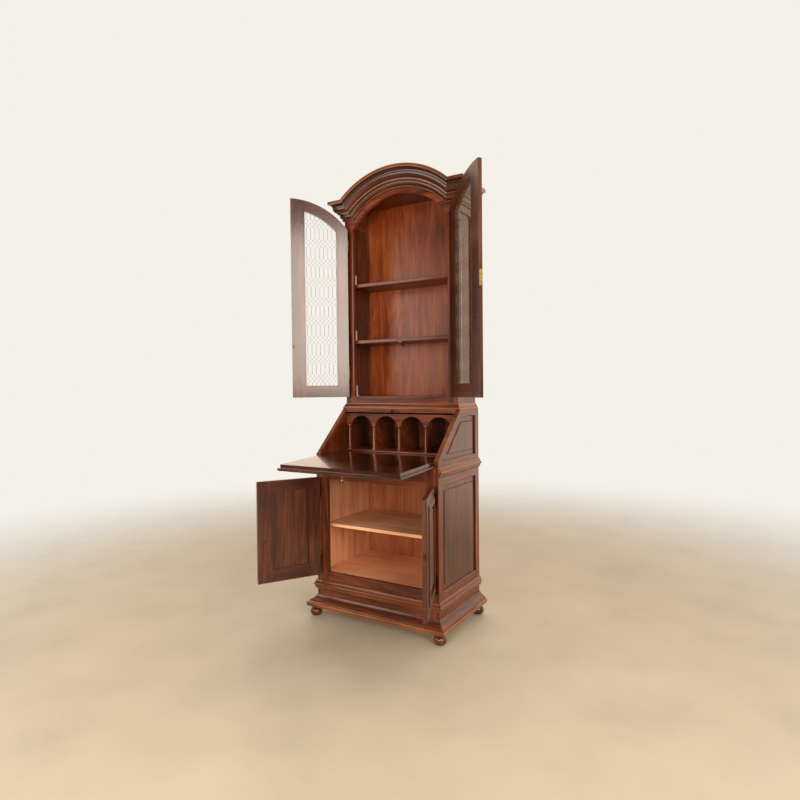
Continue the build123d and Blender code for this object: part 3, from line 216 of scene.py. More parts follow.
def shells(points, run):
    """Closed shells from a grid of points: vertices, faces and a grain map.

    points[s, i, j] is shell s at station i along its run and place j round its outline, and run is the
    distance along the grain there. Neighbouring stations are joined by four-sided faces, the outline closes
    on itself and each end gets a flat cap. A shell whose signed volume, the sum of corner triple products,
    is negative has its faces turned over. The grain map's u is the run and its v the mean distance round, and
    each shell's map is moved on so that no two shells are cut from the same piece of wood.
    """
    count, rows, columns = points.shape[:3]
    index = np.arange(count * rows * columns).reshape(count, rows, columns)
    beside = np.roll(index, -1, axis=2)
    quads = np.stack([index[:, :-1], beside[:, :-1], beside[:, 1:], index[:, 1:]], axis=-1)
    quads = quads.reshape(count, -1, 4)
    caps = np.stack([index[:, 0, ::-1], index[:, -1, :]], axis=1)

    flat = points.reshape(-1, 3)
    corner = flat[quads]
    spin = np.cross(corner[:, :, 1], corner[:, :, 2]) + np.cross(corner[:, :, 2], corner[:, :, 3])
    volume = np.sum(corner[:, :, 0] * spin, axis=(1, 2))
    rim = flat[caps]
    fan = np.cross(rim[:, :, 1:-1], rim[:, :, 2:])
    volume = volume + np.sum(rim[:, :, :1] * fan, axis=(1, 2, 3))
    inside_out = volume < 0

    around = np.linalg.norm(np.roll(points, -1, axis=2) - points, axis=3).mean(axis=1)
    around = np.concatenate([np.zeros((count, 1)), np.cumsum(around, axis=1)], axis=1)
    shift = np.arange(count)[:, None]
    u = run + GRAIN_STEP[0] * shift[:, :, None]
    v = around + GRAIN_STEP[1] * shift
    u_beside = np.roll(u, -1, axis=2)
    u_quads = np.stack([u[:, :-1], u_beside[:, :-1], u_beside[:, 1:], u[:, 1:]], axis=-1)
    u_quads = u_quads.reshape(count, -1, 4)
    low = np.broadcast_to(v[:, None, :-1], (count, rows - 1, columns))
    high = np.broadcast_to(v[:, None, 1:], (count, rows - 1, columns))
    v_quads = np.stack([low, high, high, low], axis=-1).reshape(count, -1, 4)
    u_caps = np.stack([u[:, 0, ::-1], u[:, -1, :]], axis=1)
    v_caps = np.stack([v[:, -2::-1], v[:, :-1]], axis=1)

    turned = inside_out[:, None, None]
    faces = np.where(turned, quads[..., ::-1], quads).reshape(-1, 4).tolist()
    faces += np.where(turned, caps[..., ::-1], caps).reshape(-1, columns).tolist()
    maps = [np.where(turned, grid[..., ::-1], grid) for grid in (u_quads, u_caps, v_quads, v_caps)]
    maps = [grid.ravel() for grid in maps]
    grain = np.stack([np.concatenate(maps[:2]), np.concatenate(maps[2:])], axis=1)
    return flat, faces, grain


def add_piece(name, geometry, body, nodes, material, wear=None):
    """Put one computed surface into the scene as a piece that stands for CAD nodes and rides on a body."""
    vertices, faces, grain = geometry
    mesh = bpy.data.meshes.new(name)
    mesh.from_pydata(vertices.tolist(), [], faces)
    mesh.uv_layers.new(name="grain").data.foreach_set("uv", grain.ravel())
    # The attribute marks outward arrises, for rubbed wear and a painted highlight.
    if wear is not None:
        mesh.attributes.new("wear", "FLOAT", "POINT").data.foreach_set("value", np.ravel(wear))
    mesh.polygons.foreach_set("use_smooth", np.ones(len(faces), dtype=bool))
    mesh.set_sharp_from_angle(angle=SHARP_ANGLE)
    mesh.update()
    mesh.materials.append(material)
    piece = bpy.data.objects.new(name, mesh)
    bpy.context.scene.collection.objects.link(piece)
    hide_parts(*nodes)
    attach(piece, body)
    return piece


def joined(*parts):
    """One geometry from several, with the face numbers of each moved past the vertices before it."""
    vertices, faces, grain, passed = [], [], [], 0
    for part in parts:
        vertices.append(part[0])
        faces += [[corner + passed for corner in face] for face in part[1]]
        grain.append(part[2])
        passed += len(part[0])
    return np.concatenate(vertices), faces, np.concatenate(grain)


def lathe(section, centres, segments):
    """Shells of revolution about each centre: radius times cosine and sine of the turn, at the outline's
    height.
    """
    turn = np.linspace(0, 2 * math.pi, segments, endpoint=False)
    radius, height = section[:, 0], section[:, 1]
    centres = np.asarray(centres, dtype=float)
    x = centres[:, 0, None, None] + radius[None, :, None] * np.cos(turn)
    y = centres[:, 1, None, None] + radius[None, :, None] * np.sin(turn)
    z = np.broadcast_to(centres[:, 2, None, None] + height[None, :, None], x.shape)
    return shells(np.stack([x, y, z], axis=-1), z)


def straight_run(start, end, direction):
    """A moulding between two stations, its outline's points joined by straight lines.

    start and end hold the outline's points at each end, so that a mitre is an end whose points do not share
    one distance along the run. direction is the run's unit vector, which the grain follows.
    """
    share = np.linspace(0, 1, RUN_STATIONS)[:, None, None]
    points = (start[None] * (1 - share) + end[None] * share)[None]
    return shells(points, points @ np.asarray(direction, dtype=float))


def three_sides(section, bottom, half_width, front, back):
    """A moulding round the front and both sides: out by the outline's projection, up by its height."""
    out, up = section[:, 0], bottom + section[:, 1]
    left_corner = np.stack([-half_width - out, front - out, up], axis=1)
    left_end = np.stack([-half_width - out, np.full_like(out, back), up], axis=1)
    return joined(
        straight_run(left_corner, left_corner * MIRROR, (1, 0, 0)),
        straight_run(left_corner, left_end, (0, 1, 0)),
        straight_run(left_corner * MIRROR, left_end * MIRROR, (0, 1, 0)),
    )


# ---------------------------------------------------------------- shader nodes
def add_node(tree, kind, inputs=None, **settings):
    """Add one shader node of a kind: settings are its own properties, and inputs its sockets.

    An input is a value, a socket to link, or a node that stands for its own first socket.
    """
    node = tree.nodes.new("ShaderNode" + kind)
    for key, value in settings.items():
        if key == "ramp":
            elements = node.color_ramp.elements
            elements[0].position, elements[0].color = value[0]
            elements[1].position, elements[1].color = value[-1]
            for position, tone in value[1:-1]:
                elements.new(position).color = tone
        else:
            setattr(node, key, value)
    for key, value in (inputs or {}).items():
        if isinstance(value, bpy.types.Node):
            value = value.outputs[0]
        if isinstance(value, bpy.types.NodeSocket):
            tree.links.new(value, node.inputs[key])
        else:
            node.inputs[key].default_value = value
    return node


def new_material(name):
    """A node material with nothing in it, and its node tree."""
    material = bpy.data.materials.new(name)
    material.use_nodes = True
    material.node_tree.nodes.clear()
    return material, material.node_tree


# Noise layers of a timber: cycles per metre along and across the grain, and octaves. Then the slow heart
# noise, how many rings its range spans and their share of the tone, how far it sways the layers, where on the
# sum of the layers the dark, middle and light tones lie, and the turn that lays x along the grain.
GRAIN_LAYERS = (
    ("figure", (1.7, 34.0, 34.0), 4.0),
    ("streaks", (7.0, 170.0, 170.0), 3.0),
    ("fibres", (30.0, 900.0, 900.0), 2.0),
    ("pores", (70.0, 1400.0, 1400.0), 1.0),
    ("cloud", (3.2, 4.5, 4.5), 2.0),
)
HEART_CYCLES = (0.9, 6.5, 6.5)
RING_TURNS = 78.0
RING_WEIGHT = 0.026
GRAIN_SWAY = (0.0, 3.0, 3.0)
TONE_STOPS = (0.36, 0.5, 0.65)
GRAIN_TURNS = {"X": (0, 0, 0), "Z": (0, math.pi / 2, 0)}
JOINT_HALF_WIDTH = 0.0005
BARE_ROUGHNESS = 0.62


def timber(
    name,
    tones,
    grain,
    gloss=(0.26, 0.42),
    coat=0.35,
    polish=0.12,
    figure=1.0,
    rub_highlight_tone=None,
    rails=None,
    bare=None,
):
    """Finished solid timber or veneer.

    tones are its dark, middle and light colours. grain is the axis it runs along, X or Z, or LENGTH for a
    piece with its own grain map. Wavelengths across the grain: figure 30 mm, streaks 6 mm, fibres 1.1 mm and
    pores 0.7 mm, drawn about three times their real width so that they show. rails gives the low and high
    distance along a turned direction between which the grain lies across, with that direction's angle.
    bare gives the pale tones of faces inside the cupboard.
    """
    material, tree = new_material(name)
    dark = tones[0]
    origin = add_node(tree, "TexCoord").outputs["Object"]
    if grain == "LENGTH":
        place = add_node(tree, "UVMap", uv_map="grain").outputs["UV"]
    else:
        turned = {"Vector": origin, "Rotation": GRAIN_TURNS[grain]}
        place = add_node(tree, "Mapping", turned)

    # Between the joints of a frame's stiles and rails the grain lies across, and a fine dark line marks each.
    seam = None
    if rails is not None:
        low, high, angle = rails
        across = add_node(tree, "Mapping", {"Vector": origin, "Rotation": (0, 0, -angle)})
        along = add_node(tree, "SeparateXYZ", {0: across})
        past = add_node(tree, "Math", {0: along, 1: low}, operation="GREATER_THAN")
        short = add_node(tree, "Math", {0: along, 1: high}, operation="LESS_THAN")
        between = add_node(tree, "Math", {0: past, 1: short}, operation="MULTIPLY")
        either = {0: between, 4: place, 5: across}
        place = add_node(tree, "Mix", either, data_type="VECTOR").outputs[1]
        joints = []
        for line in (low, high):
            close = {0: along, 1: line, 2: JOINT_HALF_WIDTH}
            joints.append(add_node(tree, "Math", close, operation="COMPARE"))
        seam = add_node(tree, "Math", {0: joints[0], 1: joints[1]}, operation="MAXIMUM")

    # Growth rings are a sine of a slow noise, whose colour also makes the other layers sway.
    slow = add_node(tree, "VectorMath", {0: place, 1: HEART_CYCLES}, operation="MULTIPLY")
    heart = {"Vector": slow, "Scale": 1.0, "Detail": 2.0, "Roughness": 0.45}
    heart = add_node(tree, "TexNoise", heart)
    turn = {0: heart.outputs[0], 1: RING_TURNS}
    turn = add_node(tree, "Math", turn, operation="MULTIPLY")
    rings = add_node(tree, "Math", {0: turn}, operation="SINE")
    sway = {0: heart.outputs[1], 1: GRAIN_SWAY}
    sway = add_node(tree, "VectorMath", sway, operation="MULTIPLY")
    layers = {}
    for layer, cycles, detail in GRAIN_LAYERS:
        spread = {0: place, 1: cycles, 2: sway}
        spread = add_node(tree, "VectorMath", spread, operation="MULTIPLY_ADD")
        noise = {"Vector": spread, "Scale": 1.0, "Detail": detail, "Roughness": 0.55}
        layers[layer] = add_node(tree, "TexNoise", noise)

    weights = {"figure": 0.42 * figure, "streaks": 0.26, "fibres": 0.12, "cloud": 0.2 + 0.42 * (1 - figure)}
    total = {0: rings, 1: RING_WEIGHT * figure, 2: 0.0}
    total = add_node(tree, "Math", total, operation="MULTIPLY_ADD")
    for layer, weight in weights.items():
        total = {0: layers[layer], 1: weight, 2: total}
        total = add_node(tree, "Math", total, operation="MULTIPLY_ADD")
    body = add_node(tree, "ValToRGB", {0: total}, ramp=list(zip(TONE_STOPS, tones)))

    pores = {0: layers["pores"], 1: 0.6, 2: 0.72, 3: 0.0, 4: 0.45}
    pores = add_node(tree, "MapRange", pores)
    body = add_node(tree, "Mix", {0: pores, 6: body, 7: dark}, data_type="RGBA").outputs[2]
    # Rubbed wear and painted highlight: outward arrises go in cloudy patches towards the lighter edge tone.
    if rub_highlight_tone is not None:
        patchy = {0: layers["cloud"], 1: 0.35, 2: 0.65, 3: 0.15, 4: 1.0}
        patchy = add_node(tree, "MapRange", patchy)
        proud = add_node(tree, "Attribute", attribute_name="wear").outputs["Fac"]
        rub_highlight_mask = add_node(tree, "Math", {0: proud, 1: patchy}, operation="MULTIPLY")
        rub_highlight_mask = add_node(tree, "Math", {0: rub_highlight_mask, 1: 0.75}, operation="MULTIPLY")
        body = add_node(tree, "Mix", {0: rub_highlight_mask, 6: body, 7: rub_highlight_tone}, data_type="RGBA").outputs[2]
    if seam is not None:
        faint = add_node(tree, "Math", {0: seam, 1: 0.7}, operation="MULTIPLY")
        body = add_node(tree, "Mix", {0: faint, 6: body, 7: dark}, data_type="RGBA").outputs[2]

    # Painted shade: the hollows that ambient occlusion finds within 20 mm are darkened towards the dark tone.
    hollow = add_node(tree, "AmbientOcclusion", {"Distance": 0.02}, samples=4).outputs["AO"]
    painted_hollow_shade = add_node(tree, "MapRange", {0: hollow, 1: 0.75, 2: 0.2, 3: 0.0, 4: 0.6})
    body = add_node(tree, "Mix", {0: painted_hollow_shade, 6: body, 7: dark}, data_type="RGBA").outputs[2]

    rough = {0: layers["cloud"], 1: 0.3, 2: 0.7, 3: gloss[0], 4: gloss[1]}
    rough = add_node(tree, "MapRange", rough)
    if bare is not None:
        sides = add_node(tree, "SeparateXYZ", {0: origin}).outputs
        width = add_node(tree, "Math", {0: sides[0]}, operation="ABSOLUTE")
        within = {0: width, 1: CUPBOARD_HALF_WIDTH}
        within = add_node(tree, "Math", within, operation="LESS_THAN")
        under = add_node(tree, "Math", {0: sides[2], 1: CUPBOARD_TOP}, operation="LESS_THAN")
        inside = add_node(tree, "Math", {0: within, 1: under}, operation="MULTIPLY")
        pale = add_node(tree, "ValToRGB", {0: total}, ramp=list(zip(TONE_STOPS, bare)))
        body = add_node(tree, "Mix", {0: inside, 6: body, 7: pale}, data_type="RGBA").outputs[2]
        either = {0: inside, 2: rough, 3: BARE_ROUGHNESS}
        rough = add_node(tree, "Mix", either, data_type="FLOAT")

    # Fibres and pores roughen the wood, and the polish over them lies in a slow ripple.
    relief = add_node(tree, "Math", {0: layers["fibres"], 1: pores}, operation="SUBTRACT")
    bump = add_node(tree, "Bump", {"Strength": 0.22, "Distance": 0.0004, "Height": relief})
    ripple = add_node(tree, "TexNoise", {"Vector": origin, "Scale": 55.0, "Detail": 2.0})
    film = add_node(tree, "Bump", {"Strength": 0.09, "Distance": 0.0012, "Height": ripple})
    surface = {
        "Base Color": body,
        "Roughness": rough,
        "IOR": 1.5,
        "Specular IOR Level": 0.3,
        "Normal": bump,
        "Coat Weight": coat,
        "Coat Roughness": polish,
        "Coat IOR": 1.5,
        "Coat Normal": film,
    }
    shader = add_node(tree, "BsdfPrincipled", surface)
    add_node(tree, "OutputMaterial", {0: shader})
    return material


def worked_metal(name, clean, stained, gloss, dirt):
    """Polished or drawn metal: tarnish in patches of 25 mm and in its corners, and faint 1 mm scratches."""
    material, tree = new_material(name)
    origin = add_node(tree, "TexCoord").outputs["Object"]
    patches = {"Vector": origin, "Scale": 40.0, "Detail": 5.0, "Roughness": 0.6}
    patches = add_node(tree, "TexNoise", patches)
    cover = add_node(tree, "MapRange", {0: patches, 1: 0.4, 2: 0.68, 3: 0.0, 4: dirt})
    hollow = add_node(tree, "AmbientOcclusion", {"Distance": 0.004}, samples=4).outputs["AO"]
    corner = add_node(tree, "MapRange", {0: hollow, 1: 0.8, 2: 0.3, 3: 0.0, 4: dirt})
    cover = add_node(tree, "Math", {0: cover, 1: corner}, operation="MAXIMUM")
    body = add_node(tree, "Mix", {0: cover, 6: clean, 7: stained}, data_type="RGBA").outputs[2]
    rough = {0: cover, 1: 0.0, 2: 1.0, 3: gloss[0], 4: gloss[1]}
    rough = add_node(tree, "MapRange", rough)
    drawn = {0: origin, 1: (900.0, 900.0, 90.0)}
    drawn = add_node(tree, "VectorMath", drawn, operation="MULTIPLY")
    scratch = add_node(tree, "TexNoise", {"Vector": drawn, "Scale": 1.0, "Detail": 2.0})
    bump = add_node(tree, "Bump", {"Strength": 0.15, "Distance": 0.0001, "Height": scratch})
    surface = {"Base Color": body, "Metallic": 1.0, "Roughness": rough, "Normal": bump}
    shader = add_node(tree, "BsdfPrincipled", surface)
    add_node(tree, "OutputMaterial", {0: shader})
    return material


def moulded_nylon(name, tone, aged):
    """White moulded nylon: soft sheen, a fine 0.5 mm pebble and a faint yellowing in 20 mm clouds."""
    material, tree = new_material(name)
    origin = add_node(tree, "TexCoord").outputs["Object"]
    cloud = add_node(tree, "TexNoise", {"Vector": origin, "Scale": 50.0, "Detail": 3.0})
    body = add_node(tree, "Mix", {0: cloud, 6: tone, 7: aged}, data_type="RGBA").outputs[2]
    pebble = add_node(tree, "TexNoise", {"Vector": origin, "Scale": 2000.0})
    bump = add_node(tree, "Bump", {"Strength": 0.2, "Distance": 0.0001, "Height": pebble})
    surface = {"Base Color": body, "Roughness": 0.42, "IOR": 1.53, "Normal": bump}
    shader = add_node(tree, "BsdfPrincipled", surface)
    add_node(tree, "OutputMaterial", {0: shader})
    return material


# ---------------------------------------------------------------- finishes
def door_rails(side, pin_span, front, angle):
    """Where a door's rails lie: the turned distances of its opening from the origin, and the door's angle."""
    turn = math.radians(side * angle) + (0.0 if side < 0 else math.pi)
    pin_x, pin_y = side * pin_span, front - DOOR_PIN_OFFSET
    pin_run = pin_x * math.cos(turn) + pin_y * math.sin(turn)
    return (pin_run + DOOR_STILE_REACH, pin_run + pin_span - MEETING_STILE_REACH, turn)


# Each timber finish: its tones, the way its grain runs, and how it differs from a plain shellacked board.
TIMBER_FINISHES = {
    # Stained walnut, planed and rubbed out under shellac: brown-red body, soft dark figure, clear gloss.
    "shellacked_walnut_upright": ("carcass", "Z", {}),
    "shellacked_walnut_level": ("carcass", "X", {}),
    "shellacked_walnut_side_frame": ("carcass", "Z", {"rails": (-0.168, 0.172, math.pi / 2), "bare": "bare"}),
    "shellacked_walnut_bookcase_side": ("carcass", "Z", {"rails": (0.052, 0.176, math.pi / 2)}),
    # Run walnut mouldings: painted shade lies dark in their hollows, and their arrises are rubbed thin and
    # carry a painted highlight.
    "run_walnut_moulding": ("moulding", "LENGTH", {"gloss": (0.24, 0.4), "coat": 0.4, "rub_highlight_tone": "worn"}),
    # The crown moulding is stained darker than the rest and keeps more of its polish.
    "dark_walnut_cornice": (
        "cornice",
        "LENGTH",
        {"gloss": (0.22, 0.36), "coat": 0.55, "rub_highlight_tone": "worn"},
    ),
    # Door frames: the same walnut, stained deeper and polished more, with rails tenoned between the stiles.
    "polished_walnut_upper_left": (
        "door",
        "Z",
        {"coat": 0.95, "polish": 0.16, "rails": door_rails(-1, UPPER_PIN_SPAN, HUTCH_FRONT, LEFT_ANGLE)},
    ),
    "polished_walnut_upper_right": (
        "door",
        "Z",
        {"coat": 0.8, "polish": 0.16, "rails": door_rails(1, UPPER_PIN_SPAN, HUTCH_FRONT, RIGHT_ANGLE)},
    ),
    "polished_walnut_lower_left": (
        "door",
        "Z",
        {"coat": 0.5, "rails": door_rails(-1, LOWER_PIN_SPAN, CASE_FRONT, LOWER_LEFT_ANGLE)},
    ),
    "polished_walnut_lower_right": (
        "door",
        "Z",
        {"coat": 0.5, "rails": door_rails(1, LOWER_PIN_SPAN, CASE_FRONT, LOWER_RIGHT_ANGLE)},
    ),
    # Raised panels of flat-sawn walnut: broad cloudy figure, a little redder than their frames.
    "flat_sawn_walnut_panel": ("panel", "Z", {"figure": 0.85, "coat": 0.45}),
    "flat_sawn_walnut_case_panel": ("panel", "Z", {"figure": 0.85, "coat": 0.45, "bare": "bare"}),
    # The writing board is French polished until it mirrors what stands behind it.
    "french_polished_walnut": ("writing", "X", {"gloss": (0.16, 0.26), "coat": 0.7, "polish": 0.07}),
    # Veneer round the arch: redder and livelier than the solid wood.
    "figured_walnut_veneer": ("veneer", "X", {"figure": 1.3, "coat": 0.4}),
    # Back of veneered board, upright grain, with a satin sheen.
    "veneered_back_board": ("back", "Z", {"figure": 0.8, "gloss": (0.32, 0.46), "coat": 0.3, "polish": 0.2}),
    # Bare softwood-pale boards of the cupboard: matte, never stained, darkened a little by handling.
    "bare_board_level": ("bare", "X", {"gloss": (0.52, 0.68), "coat": 0.04, "polish": 0.4, "figure": 0.6}),
    # Back of the cupboard: the same boards in a darker, browner copy of their tones, painted shade of the
    # back that lies deep in the cupboard, with a low sheen.
    "oiled_board_back": ("oiled", "Z", {"figure": 0.5, "gloss": (0.4, 0.6), "coat": 0.1, "polish": 0.3}),
    # Gallery of turned and fretted work: warm mid-brown, polished in place so a little uneven.
    "turned_walnut": ("turned", "LENGTH", {"figure": 0.7, "coat": 0.4, "rub_highlight_tone": "worn"}),
    "fretted_walnut": ("turned", "X", {"figure": 0.8, "coat": 0.35}),
    "gallery_lining": ("carcass", "X", {"figure": 0.8, "coat": 0.25}),
    # Bun feet: turned end to end from one dark block and polished hard.
    "turned_walnut_foot": (
        "foot",
        "LENGTH",
        {"figure": 0.8, "gloss": (0.2, 0.34), "coat": 0.5, "rub_highlight_tone": "worn"},
    ),
}

# Each metal finish: clean and stained colours, roughness from clean to stained, and how far stain covers it.
METAL_FINISHES = {
    # Cast and rolled brass, once bright, with brown tarnish in its corners.
    "tarnished_brass": ("brass", "tarnish", (0.24, 0.5), 0.8),
    # Hinges and buried locks: the same brass gone brown under old polish, with only its edges still bright.
    "browned_brass": ("old_brass", "old_tarnish", (0.34, 0.6), 0.9),
    # Hard-drawn brass wire: dull gold with a narrow gleam along it.
    "drawn_brass_wire": ("wire", "tarnish", (0.3, 0.5), 0.45),
    # Nickel-plated steel key, lightly scratched.
    "nickel_plated_steel": ("steel", "steel_worn", (0.18, 0.4), 0.4),
}


def finish(name):
    """The named material, made the first time it is asked for."""
    if name in bpy.data.materials:
        return bpy.data.materials[name]
    chosen = bpy.context.scene.secretary_colours

    def tones(prefix):
        """The dark, middle and light colours of one timber."""
        return [tuple(getattr(chosen, f"{prefix}_{tone}")) for tone in ("dark", "middle", "light")]

    if name in TIMBER_FINISHES:
        prefix, grain, differs = TIMBER_FINISHES[name]
        differs = dict(differs)
        if "bare" in differs:
            differs["bare"] = tones(differs["bare"])
        if "rub_highlight_tone" in differs:
            differs["rub_highlight_tone"] = tuple(getattr(chosen, differs["rub_highlight_tone"]))
        return timber(name, tones(prefix), grain, **differs)
    if name in METAL_FINISHES:
        clean, stained, gloss, dirt = METAL_FINISHES[name]
        return worked_metal(name, tuple(getattr(chosen, clean)), tuple(getattr(chosen, stained)), gloss, dirt)
    # White moulded nylon of the corner brackets, a little yellowed with age.
    if name == "moulded_white_nylon":
        return moulded_nylon(name, tuple(chosen.bracket), tuple(chosen.bracket_aged))
    raise RuntimeError(f"no finish is called {name}")


# The nodes of the model that carry each finish. The last row's nodes are stood for by run and turned pieces.
FINISHED_NODES = {
    "shellacked_walnut_side_frame": "case_sides",
    "shellacked_walnut_bookcase_side": "hutch_sides",
    "shellacked_walnut_upright": "cupboard_stiles hutch_stiles",
    "shellacked_walnut_level": "cupboard_rails plinth_front hutch_bottom_rail hutch_shelves hutch_roof",
    "fretted_walnut": "desk_top gallery_arcade gallery_roof gallery_platform",
    "french_polished_walnut": "desk_floor fall_board fall_lip",
    "gallery_lining": "gallery_back gallery_dividers",
    "polished_walnut_upper_left": "upper_door_left",
    "polished_walnut_upper_right": "upper_door_right",
    "polished_walnut_lower_left": "lower_door_left",
    "polished_walnut_lower_right": "lower_door_right",
    "flat_sawn_walnut_case_panel": "case_side_panels",
    "flat_sawn_walnut_panel": "hutch_side_panels lower_panel_left lower_panel_right",
    "figured_walnut_veneer": "arch_head",
    "veneered_back_board": "hutch_back",
    "bare_board_level": "cupboard_floor cupboard_shelf base_dust_board",
    "oiled_board_back": "cupboard_back",
    "browned_brass": (
        "hinge_frame_leaves hinge_pins lower_hinge_leaves_left lower_hinge_leaves_right "
        "upper_hinge_leaves_left upper_hinge_leaves_right lower_lock fall_lock fall_bolt fall_pivot_plates"
    ),
    "tarnished_brass": "fall_pivot_pins upper_lock shelf_pins elbow_catch_bracket elbow_catch_lever",
    "nickel_plated_steel": "fall_key",
    "moulded_white_nylon": "corner_brackets",
    "run_walnut_moulding": (
        "base_moulding sill_moulding desk_mouldings cap_moulding cornice_arch cornice_front_returns "
        "cornice_side_returns bun_feet gallery_columns upper_mesh_left upper_mesh_right"
    ),
}


# ---------------------------------------------------------------- outlines, in millimetres (out, up)
BASE_OUTLINE = (
    (0, 0),
    (38, 0),
    (38, 9),
    (40, 9),
    (40, 18),
    (34, 18),
    ((26.9, 27.2), (16.8, 33)),
    ((8.3, 40.2), (3, 50)),
    (0, 50),
)
SILL_OUTLINE = (
    (0, 0),
    (4.7, 0),
    (9.3, 7.5),
    (9.3, 15),
    ((15, 21.1), (9.3, 27.3)),
    ((7.6, 36.5), (2, 44)),
    (0, 44),
)
DESK_OUTLINE = (
    (0, 0),
    (2, 0),
    ((7.6, 7.5), (9.6, 16.6)),
    ((16, 23), (9.6, 29.4)),
    ((7.6, 38.5), (2, 46)),
    (0, 46),
)
CAP_OUTLINE = ((0, 0), (14, 0), (14, 5), (11, 5), ((8.4, 14.3), (2.5, 22)), (2.5, 26), (0, 26))
CORNICE_OUTLINE = (
    (0, 0),
    (5, 0),
    ((9, 5), (5, 10)),
    ((14.6, 16.7), (17.1, 28.2)),
    (17.1, 32.9),
    (25.6, 32.9),
    (25.6, 38.5),
    ((37.3, 46.9), (42.7, 60.2)),
    ((44.9, 71), (52.5, 79)),
    (61, 79),
    (61, 94),
    (0, 94),
)
FOOT_OUTLINE = ((16, 0), ((29, 19.2), (18, 38.4)), (23.2, 40.3), (23.2, 48))
COLUMN_OUTLINE = (
    (12, 0),
    (12, 4),
    (10.5, 4),
    ((12, 7), (10.5, 10)),
    ((8.0, 12.4), (7, 16)),
    (5.4, 105),
    ((7.6, 107), (5.6, 109)),
    ((6.9, 114.5), (10, 119)),
    (11, 119),
    (11, 125),
)
# Straight mouldings: node, outline, height of its foot, half the width it goes round, and front and back.
STRAIGHT_MOULDINGS = (
    ("base_moulding", BASE_OUTLINE, 0.048, CASE_HALF_WIDTH, CASE_FRONT, CASE_BACK),
    ("sill_moulding", SILL_OUTLINE, 0.128, CASE_HALF_WIDTH, CASE_FRONT, CASE_BACK),
    ("desk_mouldings", DESK_OUTLINE, 0.695, CASE_HALF_WIDTH, CASE_FRONT, CASE_BACK),
    ("cap_moulding", CAP_OUTLINE, 0.977, HUTCH_HALF_WIDTH, HUTCH_FRONT, CASE_BACK),
)
FOOT_CENTRES = [(x, y, 0.0) for x in (-0.331, 0.331) for y in (-0.216, 0.176)]
FOOT_SEGMENTS = 64
COLUMN_CENTRES = [(0.145 * place, 0.014, 0.773) for place in range(-2, 3)]
COLUMN_SEGMENTS = 40


class SECRETARY_OT_mouldings(bpy.types.Operator):
    """Run the base, sill, desk and cap mouldings round the case"""

    bl_idname = "secretary.mouldings"
    bl_label = "Straight mouldings"

    def execute(self, context):
        arris = context.scene.secretary_sizes.arris
        material = finish("run_walnut_moulding")
        for node, shape, bottom, half_width, front, back in STRAIGHT_MOULDINGS:
            # proud marks the outward arrises that take rubbed wear and a painted highlight.
            section, proud = rubbed(outline(*shape), arris)
            out, up = section[:, 0], bottom + section[:, 1]
            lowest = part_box(node)[0]
            if abs(lowest[2] - bottom) > BOX_TOLERANCE:
                raise RuntimeError(f"{node} does not start where its moulding is run")
            if node == "desk_mouldings":
                corner = np.stack([-half_width - out, np.full_like(out, lowest[1]), up], axis=1)
                end = np.stack([-half_width - out, np.full_like(out, back), up], axis=1)
                geometry = joined(
                    straight_run(corner, end, (0, 1, 0)),
                    straight_run(corner * MIRROR, end * MIRROR, (0, 1, 0)),
                )
                wear = np.tile(proud, 2 * RUN_STATIONS)
            else:
                geometry = three_sides(section, bottom, half_width, front, back)
                wear = np.tile(proud, 3 * RUN_STATIONS)
            add_piece(f"{node}_run", geometry, "case", [node], material, wear)
        return {"FINISHED"}


class SECRETARY_OT_cornice(bpy.types.Operator):
    """Bend the arched cornice over the bookcase and return it along the front and sides"""

    bl_idname = "secretary.cornice"
    bl_label = "Arched cornice"

    def execute(self, context):
        sizes = context.scene.secretary_sizes
        section, proud = rubbed(outline(*CORNICE_OUTLINE), sizes.arris)
        out, up = section[:, 0], section[:, 1]
        material = finish("dark_walnut_cornice")

        # Each line of the outline is an arc of its own radius that ends where it meets its level return.
        radius = CORNICE_INNER_RADIUS + up
        height = CORNICE_SPRING + up
        last_turn = np.arccos((height - ARCH_CENTRE) / radius)
        rows = 2 * int(CORNICE_INNER_RADIUS * last_turn.max() / sizes.station) + 1
        turn = np.linspace(-1, 1, rows)[:, None] * last_turn
        across = np.broadcast_to(HUTCH_FRONT - out, turn.shape)
        points = np.stack([radius * np.sin(turn), across, ARCH_CENTRE + radius * np.cos(turn)], axis=2)[None]
        arch = shells(points, (CORNICE_INNER_RADIUS * turn)[None])
        # These marks give the arrises rubbed wear and a painted highlight.
        wear = np.tile(proud, rows)
        add_piece("cornice_arch_run", arch, "case", ["cornice_arch"], material, wear)

        meeting = np.stack([radius * np.sin(last_turn), HUTCH_FRONT - out, height], axis=1)
        corner = np.stack([HUTCH_HALF_WIDTH + out, HUTCH_FRONT - out, height], axis=1)
        end = np.stack([HUTCH_HALF_WIDTH + out, np.full_like(out, CASE_BACK), height], axis=1)
        level = joined(
            straight_run(meeting, corner, (1, 0, 0)),
            straight_run(meeting * MIRROR, corner * MIRROR, (1, 0, 0)),
        )
        sides = joined(
            straight_run(corner, end, (0, 1, 0)),
            straight_run(corner * MIRROR, end * MIRROR, (0, 1, 0)),
        )
        wear = np.tile(proud, 2 * RUN_STATIONS)
        for word, geometry in (("front", level), ("side", sides)):
            nodes = [f"cornice_{word}_returns"]
            add_piece(f"cornice_{word}_run", geometry, "case", nodes, material, wear)
        return {"FINISHED"}


class SECRETARY_OT_feet(bpy.types.Operator):
    """Turn the four bun feet"""

    bl_idname = "secretary.feet"
    bl_label = "Bun feet"

    def execute(self, context):
        geometry = lathe(outline(*FOOT_OUTLINE), FOOT_CENTRES, FOOT_SEGMENTS)
        material = finish("turned_walnut_foot")
        add_piece("bun_feet_turned", geometry, "case", ["bun_feet"], material)
        return {"FINISHED"}


